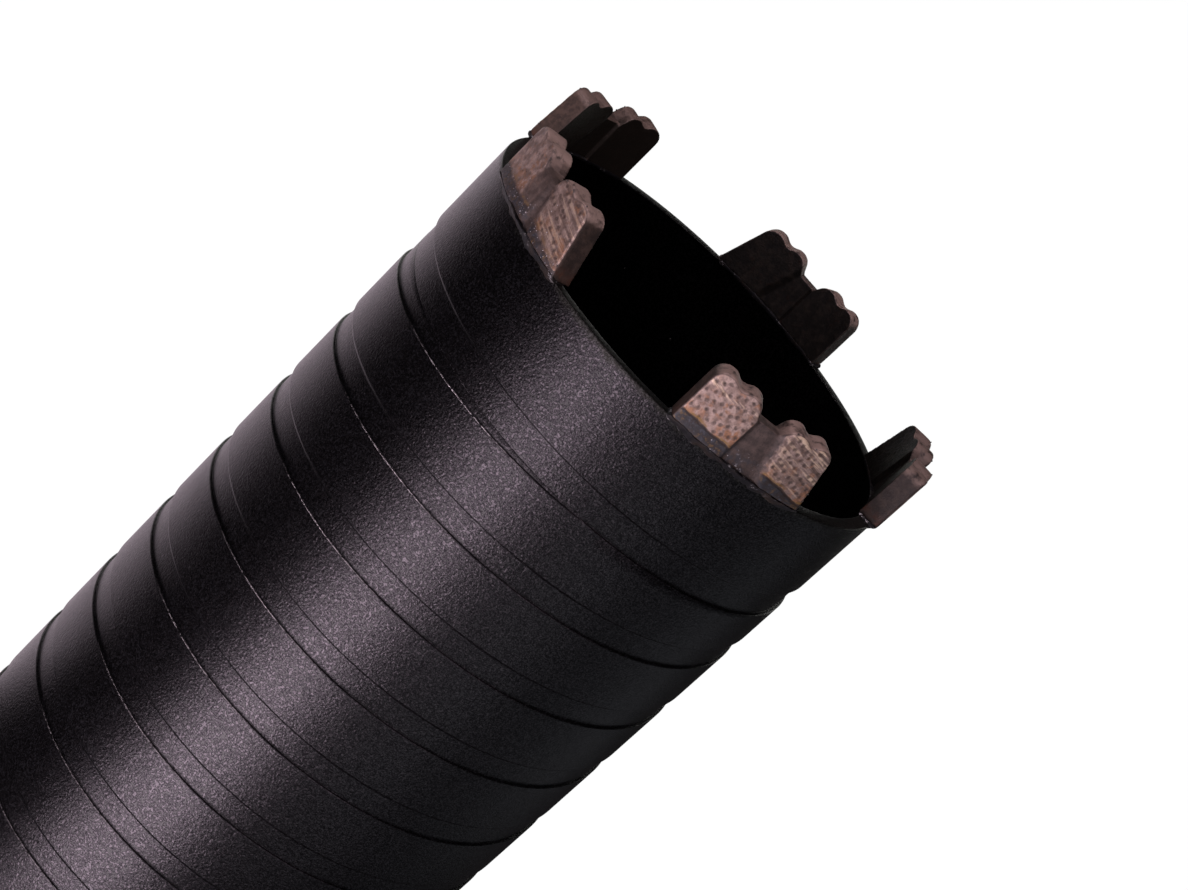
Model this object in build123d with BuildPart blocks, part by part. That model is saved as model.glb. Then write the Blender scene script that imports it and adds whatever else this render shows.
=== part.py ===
"""Diamond core bit, 76 mm: helically recessed steel barrel, five soldered crown segments and a threaded back end.

Millimetres, +Z up. The origin is the centre of the hub's end face, at the mouth of its thread, and the crown
points up. Angles are in degrees about Z, anticlockwise seen from the crown, which is the way a segment's
raked end leads.
"""

import os
from math import acos, asin, cos, degrees, radians, sin, tan

from build123d import *

os.makedirs("parts", exist_ok=True)

# ---- driving dimensions ----

# crown
BIT_DIAMETER = 76.0  # cutting diameter, over the segments
SEGMENT_COUNT = 5
FIRST_SEGMENT_ANGLE = 149.6  # middle of the first segment
SEGMENT_LENGTH = 23.1  # chord at the cutting diameter, at the foot
SEGMENT_THICKNESS = 3.4
SEGMENT_HEIGHT = 9.6
TRAILING_SPLAY = 13.0  # how far the trailing end opens outwards from the segment's middle plane, degrees
LEADING_SPLAY = 3.0
LEADING_RAKE = 15.5  # lean of the leading end off the axis, degrees
BUMP_RADIUS = 2.1  # of the two bumps on each of a segment's two teeth
NOTCH_RADIUS = 1.54  # of the hollow between a tooth's two bumps
FLANK_ANGLE = 60.0  # slope of a tooth's flank down to the valley, degrees
VALLEY_LENGTH = 3.36  # of the valley floor between the teeth, in the segment's middle plane
VALLEY_DEPTH = 2.3  # from the bumps down to the valley floor
WAIST_DEPTH = 0.5  # how much thinner, on each side, the segment is between its teeth
WAIST_RAMP = 1.2  # run of the ramp from the waist up to the leading tooth
WAIST_STEP = 0.3  # run of the steeper step up to the trailing tooth

# barrel
SIDE_RELIEF = 0.9  # how far the segments stand out past the barrel, so that only they rub
BARREL_WALL = 2.0
BARREL_LENGTH = 150.0  # from the crown rim to the back end

# helical recess that carries the dust out along the barrel
RECESS_DEPTH = 0.5
RING_DEPTH = 0.6  # the turned ring at each end of the recess is cut a little deeper
RECESS_WIDTH = 4.3
RECESS_PITCH = 13.9
RECESS_SLOPE = 0.5  # run of the sloped edge on the crown side of the recess
RING_EXTRA_WIDTH = 0.5  # how much wider each ring is than the recess
RIM_TO_RING = 14.2  # from the crown rim to the first ring
BACK_TO_RING = 12.0  # from the barrel's back end to the last ring
RECESS_START_ANGLE = -72.0  # where the recess leaves the first ring

# silver solder under the segments
SOLDER_GAP = 0.3
SOLDER_DROP = 0.9  # how far the solder runs down the barrel's two faces
SOLDER_OVERHANG = 0.5  # how far it shows past a segment's ends, as an arc

# back end
PLATE_THICKNESS = 6.0
PLATE_INSET = 1.2  # from the barrel's back end to the plate's back face
PLATE_WELD_WIDTH = 1.8
PLATE_WELD_HEIGHT = 0.9
HUB_DIAMETER = 36.0
HUB_REACH = 20.0  # from the hub's end face to the barrel's back end
HUB_FLATS = 32.0  # across the two spanner flats
FLAT_HEIGHT = 12.0
HUB_CHAMFER = 0.8
SPIGOT_DIAMETER = 27.0
SPIGOT_PROUD = 1.0  # past the plate, inside the barrel
THREAD_BORE_DIAMETER = 18.63  # crests of the G 1/2 female thread
HUB_WELD_LEG = 2.5

# ---- derived sizes ----

crown_radius = BIT_DIAMETER / 2
barrel_radius = crown_radius - SIDE_RELIEF
barrel_bore_radius = barrel_radius - BARREL_WALL
segment_inner_radius = crown_radius - SEGMENT_THICKNESS
back_z = HUB_REACH
rim_z = back_z + BARREL_LENGTH
foot_z = rim_z + SOLDER_GAP
plate_back_z = back_z + PLATE_INSET
plate_front_z = plate_back_z + PLATE_THICKNESS
hub_radius = HUB_DIAMETER / 2
spigot_radius = SPIGOT_DIAMETER / 2
segment_half = SEGMENT_LENGTH / 2
segment_half_angle = degrees(asin(segment_half / crown_radius))
chord_distance = crown_radius * cos(radians(segment_half_angle))  # from the axis
rake_run = tan(radians(LEADING_RAKE))  # run of the leading end for each millimetre of height
valley_height = SEGMENT_HEIGHT - VALLEY_DEPTH
bump_height = SEGMENT_HEIGHT - BUMP_RADIUS  # of the centre of a bump's arc
rake_setback = rake_run * bump_height + BUMP_RADIUS / cos(radians(LEADING_RAKE))  # of the leading bump
flank_start = BUMP_RADIUS * sin(radians(FLANK_ANGLE))  # from a bump's middle to where its flank begins
flank_drop = VALLEY_DEPTH - BUMP_RADIUS * (1 - cos(radians(FLANK_ANGLE)))
flank_reach = flank_start + flank_drop / tan(radians(FLANK_ANGLE))  # from a bump's middle to the valley floor
bump_spacing = (SEGMENT_LENGTH - BUMP_RADIUS - rake_setback - VALLEY_LENGTH) / 2 - flank_reach
ring_width = RECESS_WIDTH + RING_EXTRA_WIDTH


def turned_plane(angle, z=0.0):
    """Horizontal plane at height z, with its X axis turned to the angle."""
    x_dir = (cos(radians(angle)), sin(radians(angle)), 0)
    return Plane(origin=(0, 0, z), x_dir=x_dir, z_dir=(0, 0, 1))


def section_plane(angle):
    """Upright plane through the axis: X points outwards at the angle, Y points up."""
    x_dir = (cos(radians(angle)), sin(radians(angle)), 0)
    return Plane(origin=(0, 0, 0), x_dir=x_dir, z_dir=(x_dir[1], -x_dir[0], 0))


# ---- barrel ----


def recess_section(width, depth):
    """Closed outline of a cut about its middle: a crisp edge below, a sloped edge above."""
    cutter_reach = RECESS_DEPTH  # past the barrel's face
    slope_reach = RECESS_SLOPE * cutter_reach / depth
    with BuildLine() as outline:
        Polyline(
            (cutter_reach, -width / 2),
            (-depth, -width / 2),
            (-depth, width / 2 - RECESS_SLOPE),
            (cutter_reach, width / 2 + slope_reach),
            close=True,
        )
    return outline.line


def build_barrel():
    """Tube with a helical recess that starts and ends in a turned ring."""
    first_ring_z = rim_z - RIM_TO_RING - ring_width / 2
    last_ring_z = back_z + BACK_TO_RING + ring_width / 2
    recess_rise = first_ring_z - last_ring_z
    recess_turn = 360 * recess_rise / RECESS_PITCH

    with BuildPart() as barrel:
        with BuildSketch(Plane.XY.offset(back_z)):
            Circle(barrel_radius)
            Circle(barrel_bore_radius, mode=Mode.SUBTRACT)
        extrude(amount=BARREL_LENGTH)

        with BuildLine(turned_plane(RECESS_START_ANGLE - recess_turn, last_ring_z)) as recess_path:
            Helix(pitch=RECESS_PITCH, height=recess_rise, radius=barrel_radius)
        start = recess_path.line @ 0
        outwards = Vector(start.X, start.Y, 0).normalized()
        with BuildSketch(Plane(origin=start, x_dir=outwards, z_dir=outwards.cross(Vector(0, 0, 1)))):
            make_face(recess_section(RECESS_WIDTH, RECESS_DEPTH))
        sweep(path=recess_path.line, is_frenet=True, mode=Mode.SUBTRACT)

        with BuildSketch(Plane.XZ):
            for ring_z in (first_ring_z, last_ring_z):
                with Locations((barrel_radius, ring_z)):
                    add(make_face(recess_section(ring_width, RING_DEPTH), mode=Mode.PRIVATE))
        revolve(axis=Axis.Z, mode=Mode.SUBTRACT)
    return barrel.part


# ---- crown segments ----


def segment_ends(distance):
    """X of the segment's trailing and leading ends at the foot, on the upright plane this far from the axis."""
    spread = distance - chord_distance
    trailing_end = -segment_half - spread * tan(radians(TRAILING_SPLAY))
    leading_end = segment_half + spread * tan(radians(LEADING_SPLAY))
    return trailing_end, leading_end


def bump_middles(distance):
    """X of the outermost bump at each end, whose arc runs into that end without a corner."""
    trailing_end, leading_end = segment_ends(distance)
    return trailing_end + BUMP_RADIUS, leading_end - rake_setback


def valley_ends(distance):
    """X of the two ends of the valley floor, where the teeth's flanks meet it."""
    trailing_bump, leading_bump = bump_middles(distance)
    tooth_reach = bump_spacing + flank_reach
    return trailing_bump + tooth_reach, leading_bump - tooth_reach


def tooth_top(first_bump, start_angle, end_angle):
    """Bump, notch and bump as three arcs that run into each other, drawn from -X to +X."""
    half_spacing = bump_spacing / 2
    meeting_angle = degrees(acos(half_spacing / (BUMP_RADIUS + NOTCH_RADIUS)))
    notch_height = bump_height + half_spacing * tan(radians(meeting_angle))  # of the centre of its arc
    notch_centre = (first_bump + half_spacing, notch_height)
    second_bump = first_bump + bump_spacing
    first = CenterArc((first_bump, bump_height), BUMP_RADIUS, start_angle, meeting_angle - start_angle)
    CenterArc(notch_centre, NOTCH_RADIUS, 180 + meeting_angle, 180 - 2 * meeting_angle)
    mirrored = 180 - meeting_angle
    second = CenterArc((second_bump, bump_height), BUMP_RADIUS, mirrored, end_angle - mirrored)
    return first @ 0, second @ 1


def crown_outline(distance):
    """Closed side outline of a segment on the upright plane this far from the axis, its foot at Y = 0."""
    trailing_end, leading_end = segment_ends(distance)
    trailing_bump, leading_bump = bump_middles(distance)
    valley_start, valley_end = valley_ends(distance)
    flank = 90 - FLANK_ANGLE
    with BuildLine() as outline:
        trailing_start, trailing_stop = tooth_top(trailing_bump, 180, flank)
        leading_start, leading_stop = tooth_top(leading_bump - bump_spacing, 180 - flank, LEADING_RAKE)
        Polyline(trailing_stop, (valley_start, valley_height), (valley_end, valley_height), leading_start)
        Polyline(leading_stop, (leading_end, 0), (trailing_end, 0), trailing_start)
    return outline.line


def waist_outline(face_radius, side, height):
    """Closed plan of the waist cut at one face: from the trailing tooth's step to the leading tooth's ramp."""
    floor_radius = face_radius - side * WAIST_DEPTH
    lip_radius = face_radius + side * WAIST_DEPTH  # as far past the face as the floor is below it
    valley_start, valley_end = valley_ends(face_radius)
    ramp_foot = valley_end + rake_run * (valley_height - height)
    floor_start = degrees(asin((valley_start + WAIST_STEP) / face_radius))
    floor_end = degrees(asin(ramp_foot / face_radius))
    lip_start = degrees(asin((valley_start - WAIST_STEP) / face_radius))
    lip_end = degrees(asin((ramp_foot + 2 * WAIST_RAMP) / face_radius))
    with BuildLine() as outline:
        floor = CenterArc((0, 0), floor_radius, floor_start, floor_end - floor_start)
        lip = CenterArc((0, 0), lip_radius, lip_start, lip_end - lip_start)
        Line(floor @ 0, lip @ 0)
        Line(floor @ 1, lip @ 1)
    return outline.line


def build_segment(middle_angle):
    """Sintered segment: two double-bumped teeth, a waist between them, a raked leading end."""
    outwards = Vector(cos(radians(middle_angle)), sin(radians(middle_angle)), 0)
    along = Vector(0, 0, 1).cross(outwards)  # towards the leading end
    inner_distance = chord_distance - 2 * SEGMENT_THICKNESS
    outer_distance = chord_distance + 2 * SEGMENT_THICKNESS

    with BuildPart() as segment:
        for distance in (inner_distance, outer_distance):
            with BuildSketch(Plane(outwards * distance + Vector(0, 0, foot_z), x_dir=along, z_dir=outwards)):
                make_face(crown_outline(distance))
        loft(ruled=True)

        with BuildSketch(Plane.XY.offset(foot_z)):
            Circle(crown_radius)
            Circle(segment_inner_radius, mode=Mode.SUBTRACT)
        extrude(amount=SEGMENT_HEIGHT, mode=Mode.INTERSECT)

        for face_radius, side in ((crown_radius, 1), (segment_inner_radius, -1)):
            for height in (0, SEGMENT_HEIGHT):
                with BuildSketch(turned_plane(middle_angle, foot_z + height)):
                    make_face(waist_outline(face_radius, side, height))
            loft(ruled=True, mode=Mode.SUBTRACT)
    return segment.part


def build_solder(middle_angle):
    """Silver solder under one segment: a thin layer on the rim that fillets down both faces of the barrel."""
    overhang = degrees(SOLDER_OVERHANG / crown_radius)
    half_arc = segment_half_angle + overhang
    inner_drop = SOLDER_DROP * (barrel_bore_radius - segment_inner_radius) / SIDE_RELIEF
    with BuildPart() as solder:
        with BuildSketch(section_plane(middle_angle - half_arc)):
            with BuildLine():
                Polyline(
                    (barrel_radius, rim_z),
                    (barrel_radius, rim_z - SOLDER_DROP),
                    (crown_radius, foot_z),
                    (segment_inner_radius, foot_z),
                    (barrel_bore_radius, rim_z - inner_drop),
                    (barrel_bore_radius, rim_z),
                    close=True,
                )
            make_face()
        revolve(axis=Axis.Z, revolution_arc=2 * half_arc)
    return solder.part


# ---- back end ----


def build_back_plate():
    """Turned disc that closes the barrel's back end, with a hole for the hub's spigot."""
    with BuildPart() as back_plate:
        with BuildSketch(Plane.XY.offset(plate_back_z)):
            Circle(barrel_bore_radius)
            Circle(spigot_radius, mode=Mode.SUBTRACT)
        extrude(amount=PLATE_THICKNESS)
    return back_plate.part


def build_plate_weld():
    """Weld run that fills the corner between the plate's back face and the barrel's bore."""
    with BuildPart() as plate_weld:
        with BuildSketch(Plane.XZ):
            with BuildLine():
                Polyline(
                    (barrel_bore_radius, plate_back_z),
                    (barrel_bore_radius, plate_back_z - PLATE_WELD_HEIGHT),
                    (barrel_bore_radius - PLATE_WELD_WIDTH, plate_back_z),
                    close=True,
                )
            make_face()
        revolve(axis=Axis.Z)
    return plate_weld.part


def build_hub():
    """Turned hub with two spanner flats, a spigot through the plate and a through thread."""
    spigot_end_z = plate_front_z + SPIGOT_PROUD
    bore_radius = THREAD_BORE_DIAMETER / 2
    with BuildPart() as hub:
        with BuildSketch(Plane.XZ):
            with BuildLine():
                Polyline(
                    (bore_radius, 0),
                    (hub_radius - HUB_CHAMFER, 0),
                    (hub_radius, HUB_CHAMFER),
                    (hub_radius, plate_back_z),
                    (spigot_radius, plate_back_z),
                    (spigot_radius, spigot_end_z),
                    (bore_radius, spigot_end_z),
                    close=True,
                )
            make_face()
        revolve(axis=Axis.Z)
        with BuildSketch():
            Rectangle(2 * HUB_DIAMETER, 2 * HUB_DIAMETER)
            Rectangle(2 * HUB_DIAMETER, HUB_FLATS, mode=Mode.SUBTRACT)
        extrude(amount=FLAT_HEIGHT, mode=Mode.SUBTRACT)
    return hub.part


def build_hub_weld():
    """Fillet weld around the hub, on the plate's back face."""
    with BuildPart() as hub_weld:
        with BuildSketch(Plane.XZ):
            with BuildLine():
                Polyline(
                    (hub_radius, plate_back_z),
                    (hub_radius, plate_back_z - HUB_WELD_LEG),
                    (hub_radius + HUB_WELD_LEG, plate_back_z),
                    close=True,
                )
            make_face()
        revolve(axis=Axis.Z)
    return hub_weld.part


# ---- the bit ----

pieces = {
    "barrel": build_barrel(),
    "back_plate": build_back_plate(),
    "plate_weld": build_plate_weld(),
    "hub": build_hub(),
    "hub_weld": build_hub_weld(),
}
for index in range(SEGMENT_COUNT):
    middle_angle = FIRST_SEGMENT_ANGLE + index * 360 / SEGMENT_COUNT
    pieces[f"segment_{index + 1}"] = build_segment(middle_angle)
    pieces[f"solder_{index + 1}"] = build_solder(middle_angle)

for name, piece in pieces.items():
    piece.label = name
    export_step(piece, f"parts/{name}.step")
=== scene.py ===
"""Looks of the diamond core bit: coated barrel, sintered segments, solder, threaded hub and welds.

Sizes are in millimetres and become metres when a mesh is made. The frame is the model's own: +Z runs
from the hub to the crown, and angles are in degrees about Z, anticlockwise seen from the crown.
"""

import logging
from dataclasses import dataclass
from enum import Enum
from math import asin, cos, pi, radians, sin, tan

import bmesh
import bpy
import numpy as np
from mathutils import Matrix, Vector
from mathutils.bvhtree import BVHTree

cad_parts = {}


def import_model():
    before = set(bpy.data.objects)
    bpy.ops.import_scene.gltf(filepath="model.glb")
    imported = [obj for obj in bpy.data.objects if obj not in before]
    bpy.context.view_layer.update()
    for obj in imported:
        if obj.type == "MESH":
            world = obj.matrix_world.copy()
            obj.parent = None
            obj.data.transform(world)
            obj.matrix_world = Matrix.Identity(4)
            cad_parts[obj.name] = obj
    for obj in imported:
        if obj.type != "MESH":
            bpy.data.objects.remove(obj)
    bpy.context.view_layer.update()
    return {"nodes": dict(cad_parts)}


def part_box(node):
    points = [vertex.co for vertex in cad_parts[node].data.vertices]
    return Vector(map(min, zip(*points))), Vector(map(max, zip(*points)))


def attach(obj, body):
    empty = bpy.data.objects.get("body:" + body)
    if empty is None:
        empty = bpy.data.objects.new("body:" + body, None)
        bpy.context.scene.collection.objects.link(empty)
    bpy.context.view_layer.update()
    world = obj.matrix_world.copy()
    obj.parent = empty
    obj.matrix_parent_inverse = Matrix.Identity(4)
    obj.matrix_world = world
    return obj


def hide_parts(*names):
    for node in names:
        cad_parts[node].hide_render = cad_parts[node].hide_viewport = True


LOG = logging.getLogger("core_bit")
MM = 0.001
MERGE_DISTANCE = 0.002  # mm

# Numbers that the segments' meshes keep for their finish, in millimetres:
GRIT_DISTANCE = "grit_distance"  # distance to the nearest diamond
FACE_RADIUS = "face_radius"  # distance from the axis before the skin gets its relief
EDGE_BULGE = "edge_wear"  # how far a point stands out of its surroundings, which lightens edges as a painted highlight

SAME_NUMBER = 0.4  # how far two numbers of segments may differ and still count as the same

Socket = bpy.types.NodeSocket
Value = Socket | float | tuple | None  # what an input of a node takes
Pair = tuple[float, float]
Triple = tuple[float, float, float]
Colour = Triple
Radius = float | np.ndarray  # one radius, or one for each column
Rows = list[tuple[Radius, float]]


class Slot(Enum):
    """Material slots of the record."""

    COAT = "black_coat"
    MATRIX = "segment_matrix"
    SOLDER = "silver_solder"


# ---- node graphs ----


class Graph:
    """A node tree under construction, with a short method for each kind of node that it uses."""

    def __init__(self, tree: bpy.types.NodeTree) -> None:
        """Takes over an empty or default tree."""
        self.tree = tree
        tree.nodes.clear()

    def feed(self, socket: Socket, value: Value) -> None:
        """Links a socket to another one, or sets its value."""
        if isinstance(value, Socket):
            self.tree.links.new(value, socket)
        else:
            socket.default_value = value

    def node(self, kind: str, settings: dict | None = None, **inputs: Value) -> bpy.types.Node:
        """Adds a node.

        Args:
            kind: Blender's type name of the node.
            settings: Properties of the node.
            inputs: Value or socket for each input, by its name with underscores for spaces.

        Returns:
            The new node.
        """
        node = self.tree.nodes.new(kind)
        for key, value in (settings or {}).items():
            setattr(node, key, value)
        for key, value in inputs.items():
            wanted = key.replace("_", " ").lower()
            self.feed(next(s for s in node.inputs if s.enabled and s.name.lower() == wanted), value)
        return node

    def result(self, kind: str, settings: dict | None = None, **inputs: Value) -> Socket:
        """First output of a new node, which is given as for the method node."""
        return self.node(kind, settings, **inputs).outputs[0]

    def math(self, operation: str, *values: Value) -> Socket:
        """Result of a Math node."""
        node = self.node("ShaderNodeMath", {"operation": operation})
        for socket, value in zip(node.inputs, values):
            self.feed(socket, value)
        return node.outputs[0]

    def add(self, a: Value, b: Value) -> Socket:
        """Sum of two values."""
        return self.math("ADD", a, b)

    def subtract(self, a: Value, b: Value) -> Socket:
        """Difference of two values."""
        return self.math("SUBTRACT", a, b)

    def multiply(self, *values: Value) -> Socket:
        """Product of two or more values."""
        product = values[0]
        for value in values[1:]:
            product = self.math("MULTIPLY", product, value)
        return product

    def divide(self, a: Value, b: Value) -> Socket:
        """Quotient of two values."""
        return self.math("DIVIDE", a, b)

    def invert(self, value: Value) -> Socket:
        """One minus a value."""
        return self.math("SUBTRACT", 1.0, value)

    def maximum(self, a: Value, b: Value) -> Socket:
        """Greater of two values."""
        return self.math("MAXIMUM", a, b)

    def minimum(self, a: Value, b: Value) -> Socket:
        """Smaller of two values."""
        return self.math("MINIMUM", a, b)

    def absolute(self, value: Value) -> Socket:
        """Value without its sign."""
        return self.math("ABSOLUTE", value)

    def centred(self, value: Value) -> Socket:
        """Noise between -0.5 and 0.5 from noise between 0 and 1."""
        return self.subtract(value, 0.5)

    def ramp(
        self, value: Value, start: Value, stop: Value, low: Value = 0.0, high: Value = 1.0
    ) -> Socket:
        """Value eased from low at start to high at stop, and level beyond both."""
        node = self.node("ShaderNodeMapRange", {"interpolation_type": "SMOOTHSTEP"})
        for socket, entry in zip(node.inputs, (value, start, stop, low, high)):
            self.feed(socket, entry)
        return node.outputs[0]

    def choose(self, share: Value, low: Value, high: Value) -> Socket:
        """Value eased from low to high as a share goes from 0 to 1."""
        return self.ramp(share, 0.0, 1.0, low, high)

    def combine(self, x: Value, y: Value, z: Value) -> Socket:
        """Vector of three values."""
        return self.result("ShaderNodeCombineXYZ", X=x, Y=y, Z=z)

    def separate(self, vector: Value) -> tuple[Socket, Socket, Socket]:
        """X, Y and Z of a vector."""
        return tuple(self.node("ShaderNodeSeparateXYZ", Vector=vector).outputs)

    def polar(self, radius: Value, turns: Value, height: Value) -> Socket:
        """Place at a distance from the axis, an angle in turns and a height."""
        angle = self.multiply(turns, 2 * pi)
        x = self.multiply(radius, self.math("COSINE", angle))
        return self.combine(x, self.multiply(radius, self.math("SINE", angle)), height)

    def reach(self, x: Value, y: Value) -> Socket:
        """Distance of a place from the axis."""
        return self.math("SQRT", self.add(self.multiply(x, x), self.multiply(y, y)))

    def scaled(self, vector: Value, scale: Value) -> Socket:
        """Vector times a number."""
        settings = {"operation": "SCALE"}
        return self.result("ShaderNodeVectorMath", settings, Vector=vector, Scale=scale)

    def outwards(self, x: Value, y: Value) -> Socket:
        """Direction from the axis to a place, of length 1."""
        settings = {"operation": "NORMALIZE"}
        return self.result("ShaderNodeVectorMath", settings, Vector=self.combine(x, y, 0.0))

    def vectors(self, operation: str, a: Value, b: Value) -> bpy.types.Node:
        """Vector Math node with two vectors."""
        node = self.node("ShaderNodeVectorMath", {"operation": operation})
        self.feed(node.inputs[0], a)
        self.feed(node.inputs[1], b)
        return node

    def dot(self, a: Value, b: Value) -> Socket:
        """Dot product of two vectors."""
        return self.vectors("DOT_PRODUCT", a, b).outputs["Value"]

    def attribute(self, name: str) -> Socket:
        """Number that the mesh keeps under a name."""
        return self.node("ShaderNodeAttribute", {"attribute_name": name}).outputs["Fac"]

    def noise(
        self, vector: Value, size: float, detail: float = 2.0, roughness: float = 0.5
    ) -> Socket:
        """Noise between 0 and 1.

        Args:
            vector: Place in millimetres.
            size: Size of its lumps in millimetres.
            detail: How many finer layers it has.
            roughness: Weight of each finer layer.

        Returns:
            The noise.
        """
        return self.result(
            "ShaderNodeTexNoise",
            Vector=vector,
            Scale=1.0 / size,
            Detail=detail,
            Roughness=roughness,
        )

    def clouds(
        self,
        vector: Value,
        size: float,
        detail: float,
        start: float,
        stop: float,
        low: Value = 0.0,
        high: Value = 1.0,
    ) -> Socket:
        """Noise of a size and detail, eased from low to high between two of its levels."""
        return self.ramp(self.noise(vector, size, detail), start, stop, low, high)

    def specks(self, vector: Value, spacing: float, share: float, radius: float) -> Socket:
        """Small round specks, 1 at their middles.

        Args:
            vector: Place in millimetres.
            spacing: Distance between the cells that may hold one.
            share: Share of the cells that hold one.
            radius: Radius of a speck, as a share of the spacing.

        Returns:
            The specks.
        """
        cells = self.node(
            "ShaderNodeTexVoronoi", {"feature": "F1"}, Vector=vector, Scale=1.0 / spacing
        ).outputs
        chosen = self.math("LESS_THAN", self.separate(cells["Color"])[0], share)
        return self.multiply(chosen, self.ramp(cells["Distance"], radius, 0.4 * radius))

    def blend(self, factor: Value, first: Value, second: Value) -> Socket:
        """Colour mixed from first to second.

        Args:
            factor: Share of the second colour.
            first: Colour as three numbers, or a socket.
            second: Colour as three numbers, or a socket.

        Returns:
            The mixed colour.
        """
        node = self.node("ShaderNodeMix", {"data_type": "RGBA", "clamp_factor": True})
        colours = [s for s in node.inputs if s.type == "RGBA"]
        self.feed(node.inputs[0], factor)
        for socket, colour in zip(colours, (first, second)):
            self.feed(socket, colour if isinstance(colour, Socket) else (*colour, 1.0))
        return next(s for s in node.outputs if s.type == "RGBA")

    def layers(self, colour: Value, *coats: tuple[Value, Value]) -> Socket:
        """Colour with coats laid over it in turn, each given as its share and its colour."""
        for share, coat in coats:
            colour = self.blend(share, colour, coat)
        return colour


@dataclass(frozen=True)
class CrownGrid:
    """Layout of the segments, and the local coordinates of a place on the crown."""

    first_angle: float = 149.6  # middle of segment 1, in degrees
    count: int = 5
    crown_radius: float = 38.0
    foot_z: float = 170.3
    smeared: int = 2  # segment whose face has been rubbed most
    foot_strip: float = 1.85  # height of the bare strip over the segments' foot
    low_strip: float = 0.9  # its height at the leading end
    strip_fall: Pair = (4.0, 10.5)  # stretch along a segment over which the strip gets lower

    def middle(self, number: int) -> float:
        """Angle of a segment's middle, in radians."""
        return radians(self.first_angle + (number - 1) * 360 / self.count)

    def sockets(self, graph: Graph, place: Value) -> tuple[Socket, Socket, Socket, Socket]:
        """Coordinates of a place.

        Args:
            graph: Graph to work in.
            place: Place in millimetres in the model's frame.

        Returns:
            Distance along the segment from its middle, height over its foot, radius and number.
            Segment 1 is number 0, and any other segment n is number n - 1 less the count.
        """
        x, y, z = graph.separate(place)
        radius = graph.reach(x, y)
        turn = graph.subtract(graph.math("ARCTAN2", y, x), radians(self.first_angle))
        half_sector = pi / self.count
        local = graph.math("WRAP", turn, half_sector, -half_sector)
        sectors = graph.multiply(graph.subtract(turn, local), self.count / (2 * pi))
        along = graph.multiply(local, self.crown_radius)
        return along, graph.subtract(z, self.foot_z), radius, graph.math("ROUND", sectors)

    def on_segment(self, graph: Graph, number: Value, wanted: int) -> Socket:
        """1 on one of the segments, counted from 1, and 0 on the others."""
        return graph.math("COMPARE", number, float(-((1 - wanted) % self.count)), SAME_NUMBER)

    def strip(self, graph: Graph, along: Value) -> Socket:
        """Height of the bare strip over the foot."""
        return graph.ramp(along, *self.strip_fall, self.foot_strip, self.low_strip)


@dataclass(frozen=True)
class GritLattice:
    """Slanted lattice on which the diamonds of one tooth were set before sintering."""

    origin: Pair  # place of one diamond: (along, height)
    column: Pair  # step along a row
    row: Pair  # step from row to row
    start: float  # first place along the segment that has diamonds
    stop: float  # last one
    jitter: float = 0.13
    middle: float = 5.0  # height of the middle of the rows, as far from their ends as from the foot

    def places(self, rng: np.random.Generator, presence: float) -> np.ndarray:
        """Scatters the diamonds.

        Args:
            rng: Source of the scatter.
            presence: Share of the diamonds that are still there.

        Returns:
            Distance along the segment and height over its foot of each diamond.
        """
        reach = np.arange(-30, 31)
        i, j = (a.ravel() for a in np.meshgrid(reach, reach))
        places = self.origin + i[:, None] * np.array(self.column) + j[:, None] * np.array(self.row)
        places = places + rng.uniform(-self.jitter, self.jitter, places.shape)
        along, height = places.T
        kept = (along > self.start) & (along < self.stop)
        kept &= np.abs(height - self.middle) < self.middle
        return places[kept & (rng.random(len(places)) < presence)]


# ---- meshes ----


def eased(share: Radius) -> Radius:
    """Share from 0 to 1 that starts and ends level."""
    return share * share * (3 - 2 * share)


def lathe(rows: Rows, columns: int) -> tuple[np.ndarray, np.ndarray]:
    """Surface turned from a profile.

    Args:
        rows: (radius, height) of each point of the profile.
        columns: Points round the axis.

    Returns:
        Its points and its four-sided faces.
    """
    angles = 2 * pi * np.arange(columns) / columns
    across, up, level = np.cos(angles), np.sin(angles), np.ones(columns)
    rings = [
        np.stack([radius * across, radius * up, height * level], 1) for radius, height in rows
    ]
    step = np.arange(columns)
    ahead = (step + 1) % columns
    faces = [
        np.stack([step, ahead, ahead + columns, step + columns], 1) + row * columns
        for row in range(len(rows) - 1)
    ]
    return np.concatenate(rings), np.concatenate(faces)


def mesh_object(name: str, points: np.ndarray, faces: np.ndarray | list) -> bpy.types.Object:
    """Makes a mesh object from points in millimetres and adds it to the scene."""
    mesh = bpy.data.meshes.new(name)
    corners = faces.tolist() if isinstance(faces, np.ndarray) else faces
    mesh.from_pydata((np.asarray(points) * MM).tolist(), [], corners)
    obj = bpy.data.objects.new(name, mesh)
    bpy.context.scene.collection.objects.link(obj)
    return obj


def read_points(mesh: bpy.types.Mesh) -> np.ndarray:
    """Places of a mesh's points, in metres."""
    points = np.zeros(len(mesh.vertices) * 3)
    mesh.vertices.foreach_get("co", points)
    return points.reshape(-1, 3)


def move_points(mesh: bpy.types.Mesh, points: np.ndarray) -> None:
    """Moves a mesh's points to new places, in metres."""
    mesh.vertices.foreach_set("co", points.ravel())
    mesh.update()


def bake_modifiers(obj: bpy.types.Object) -> bpy.types.Object:
    """Turns an object and its modifiers into a plain mesh."""
    depsgraph = bpy.context.evaluated_depsgraph_get()
    mesh = bpy.data.meshes.new_from_object(obj.evaluated_get(depsgraph), depsgraph=depsgraph)
    obj.modifiers.clear()
    obj.data = mesh
    mesh.name = obj.name
    return obj


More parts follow.
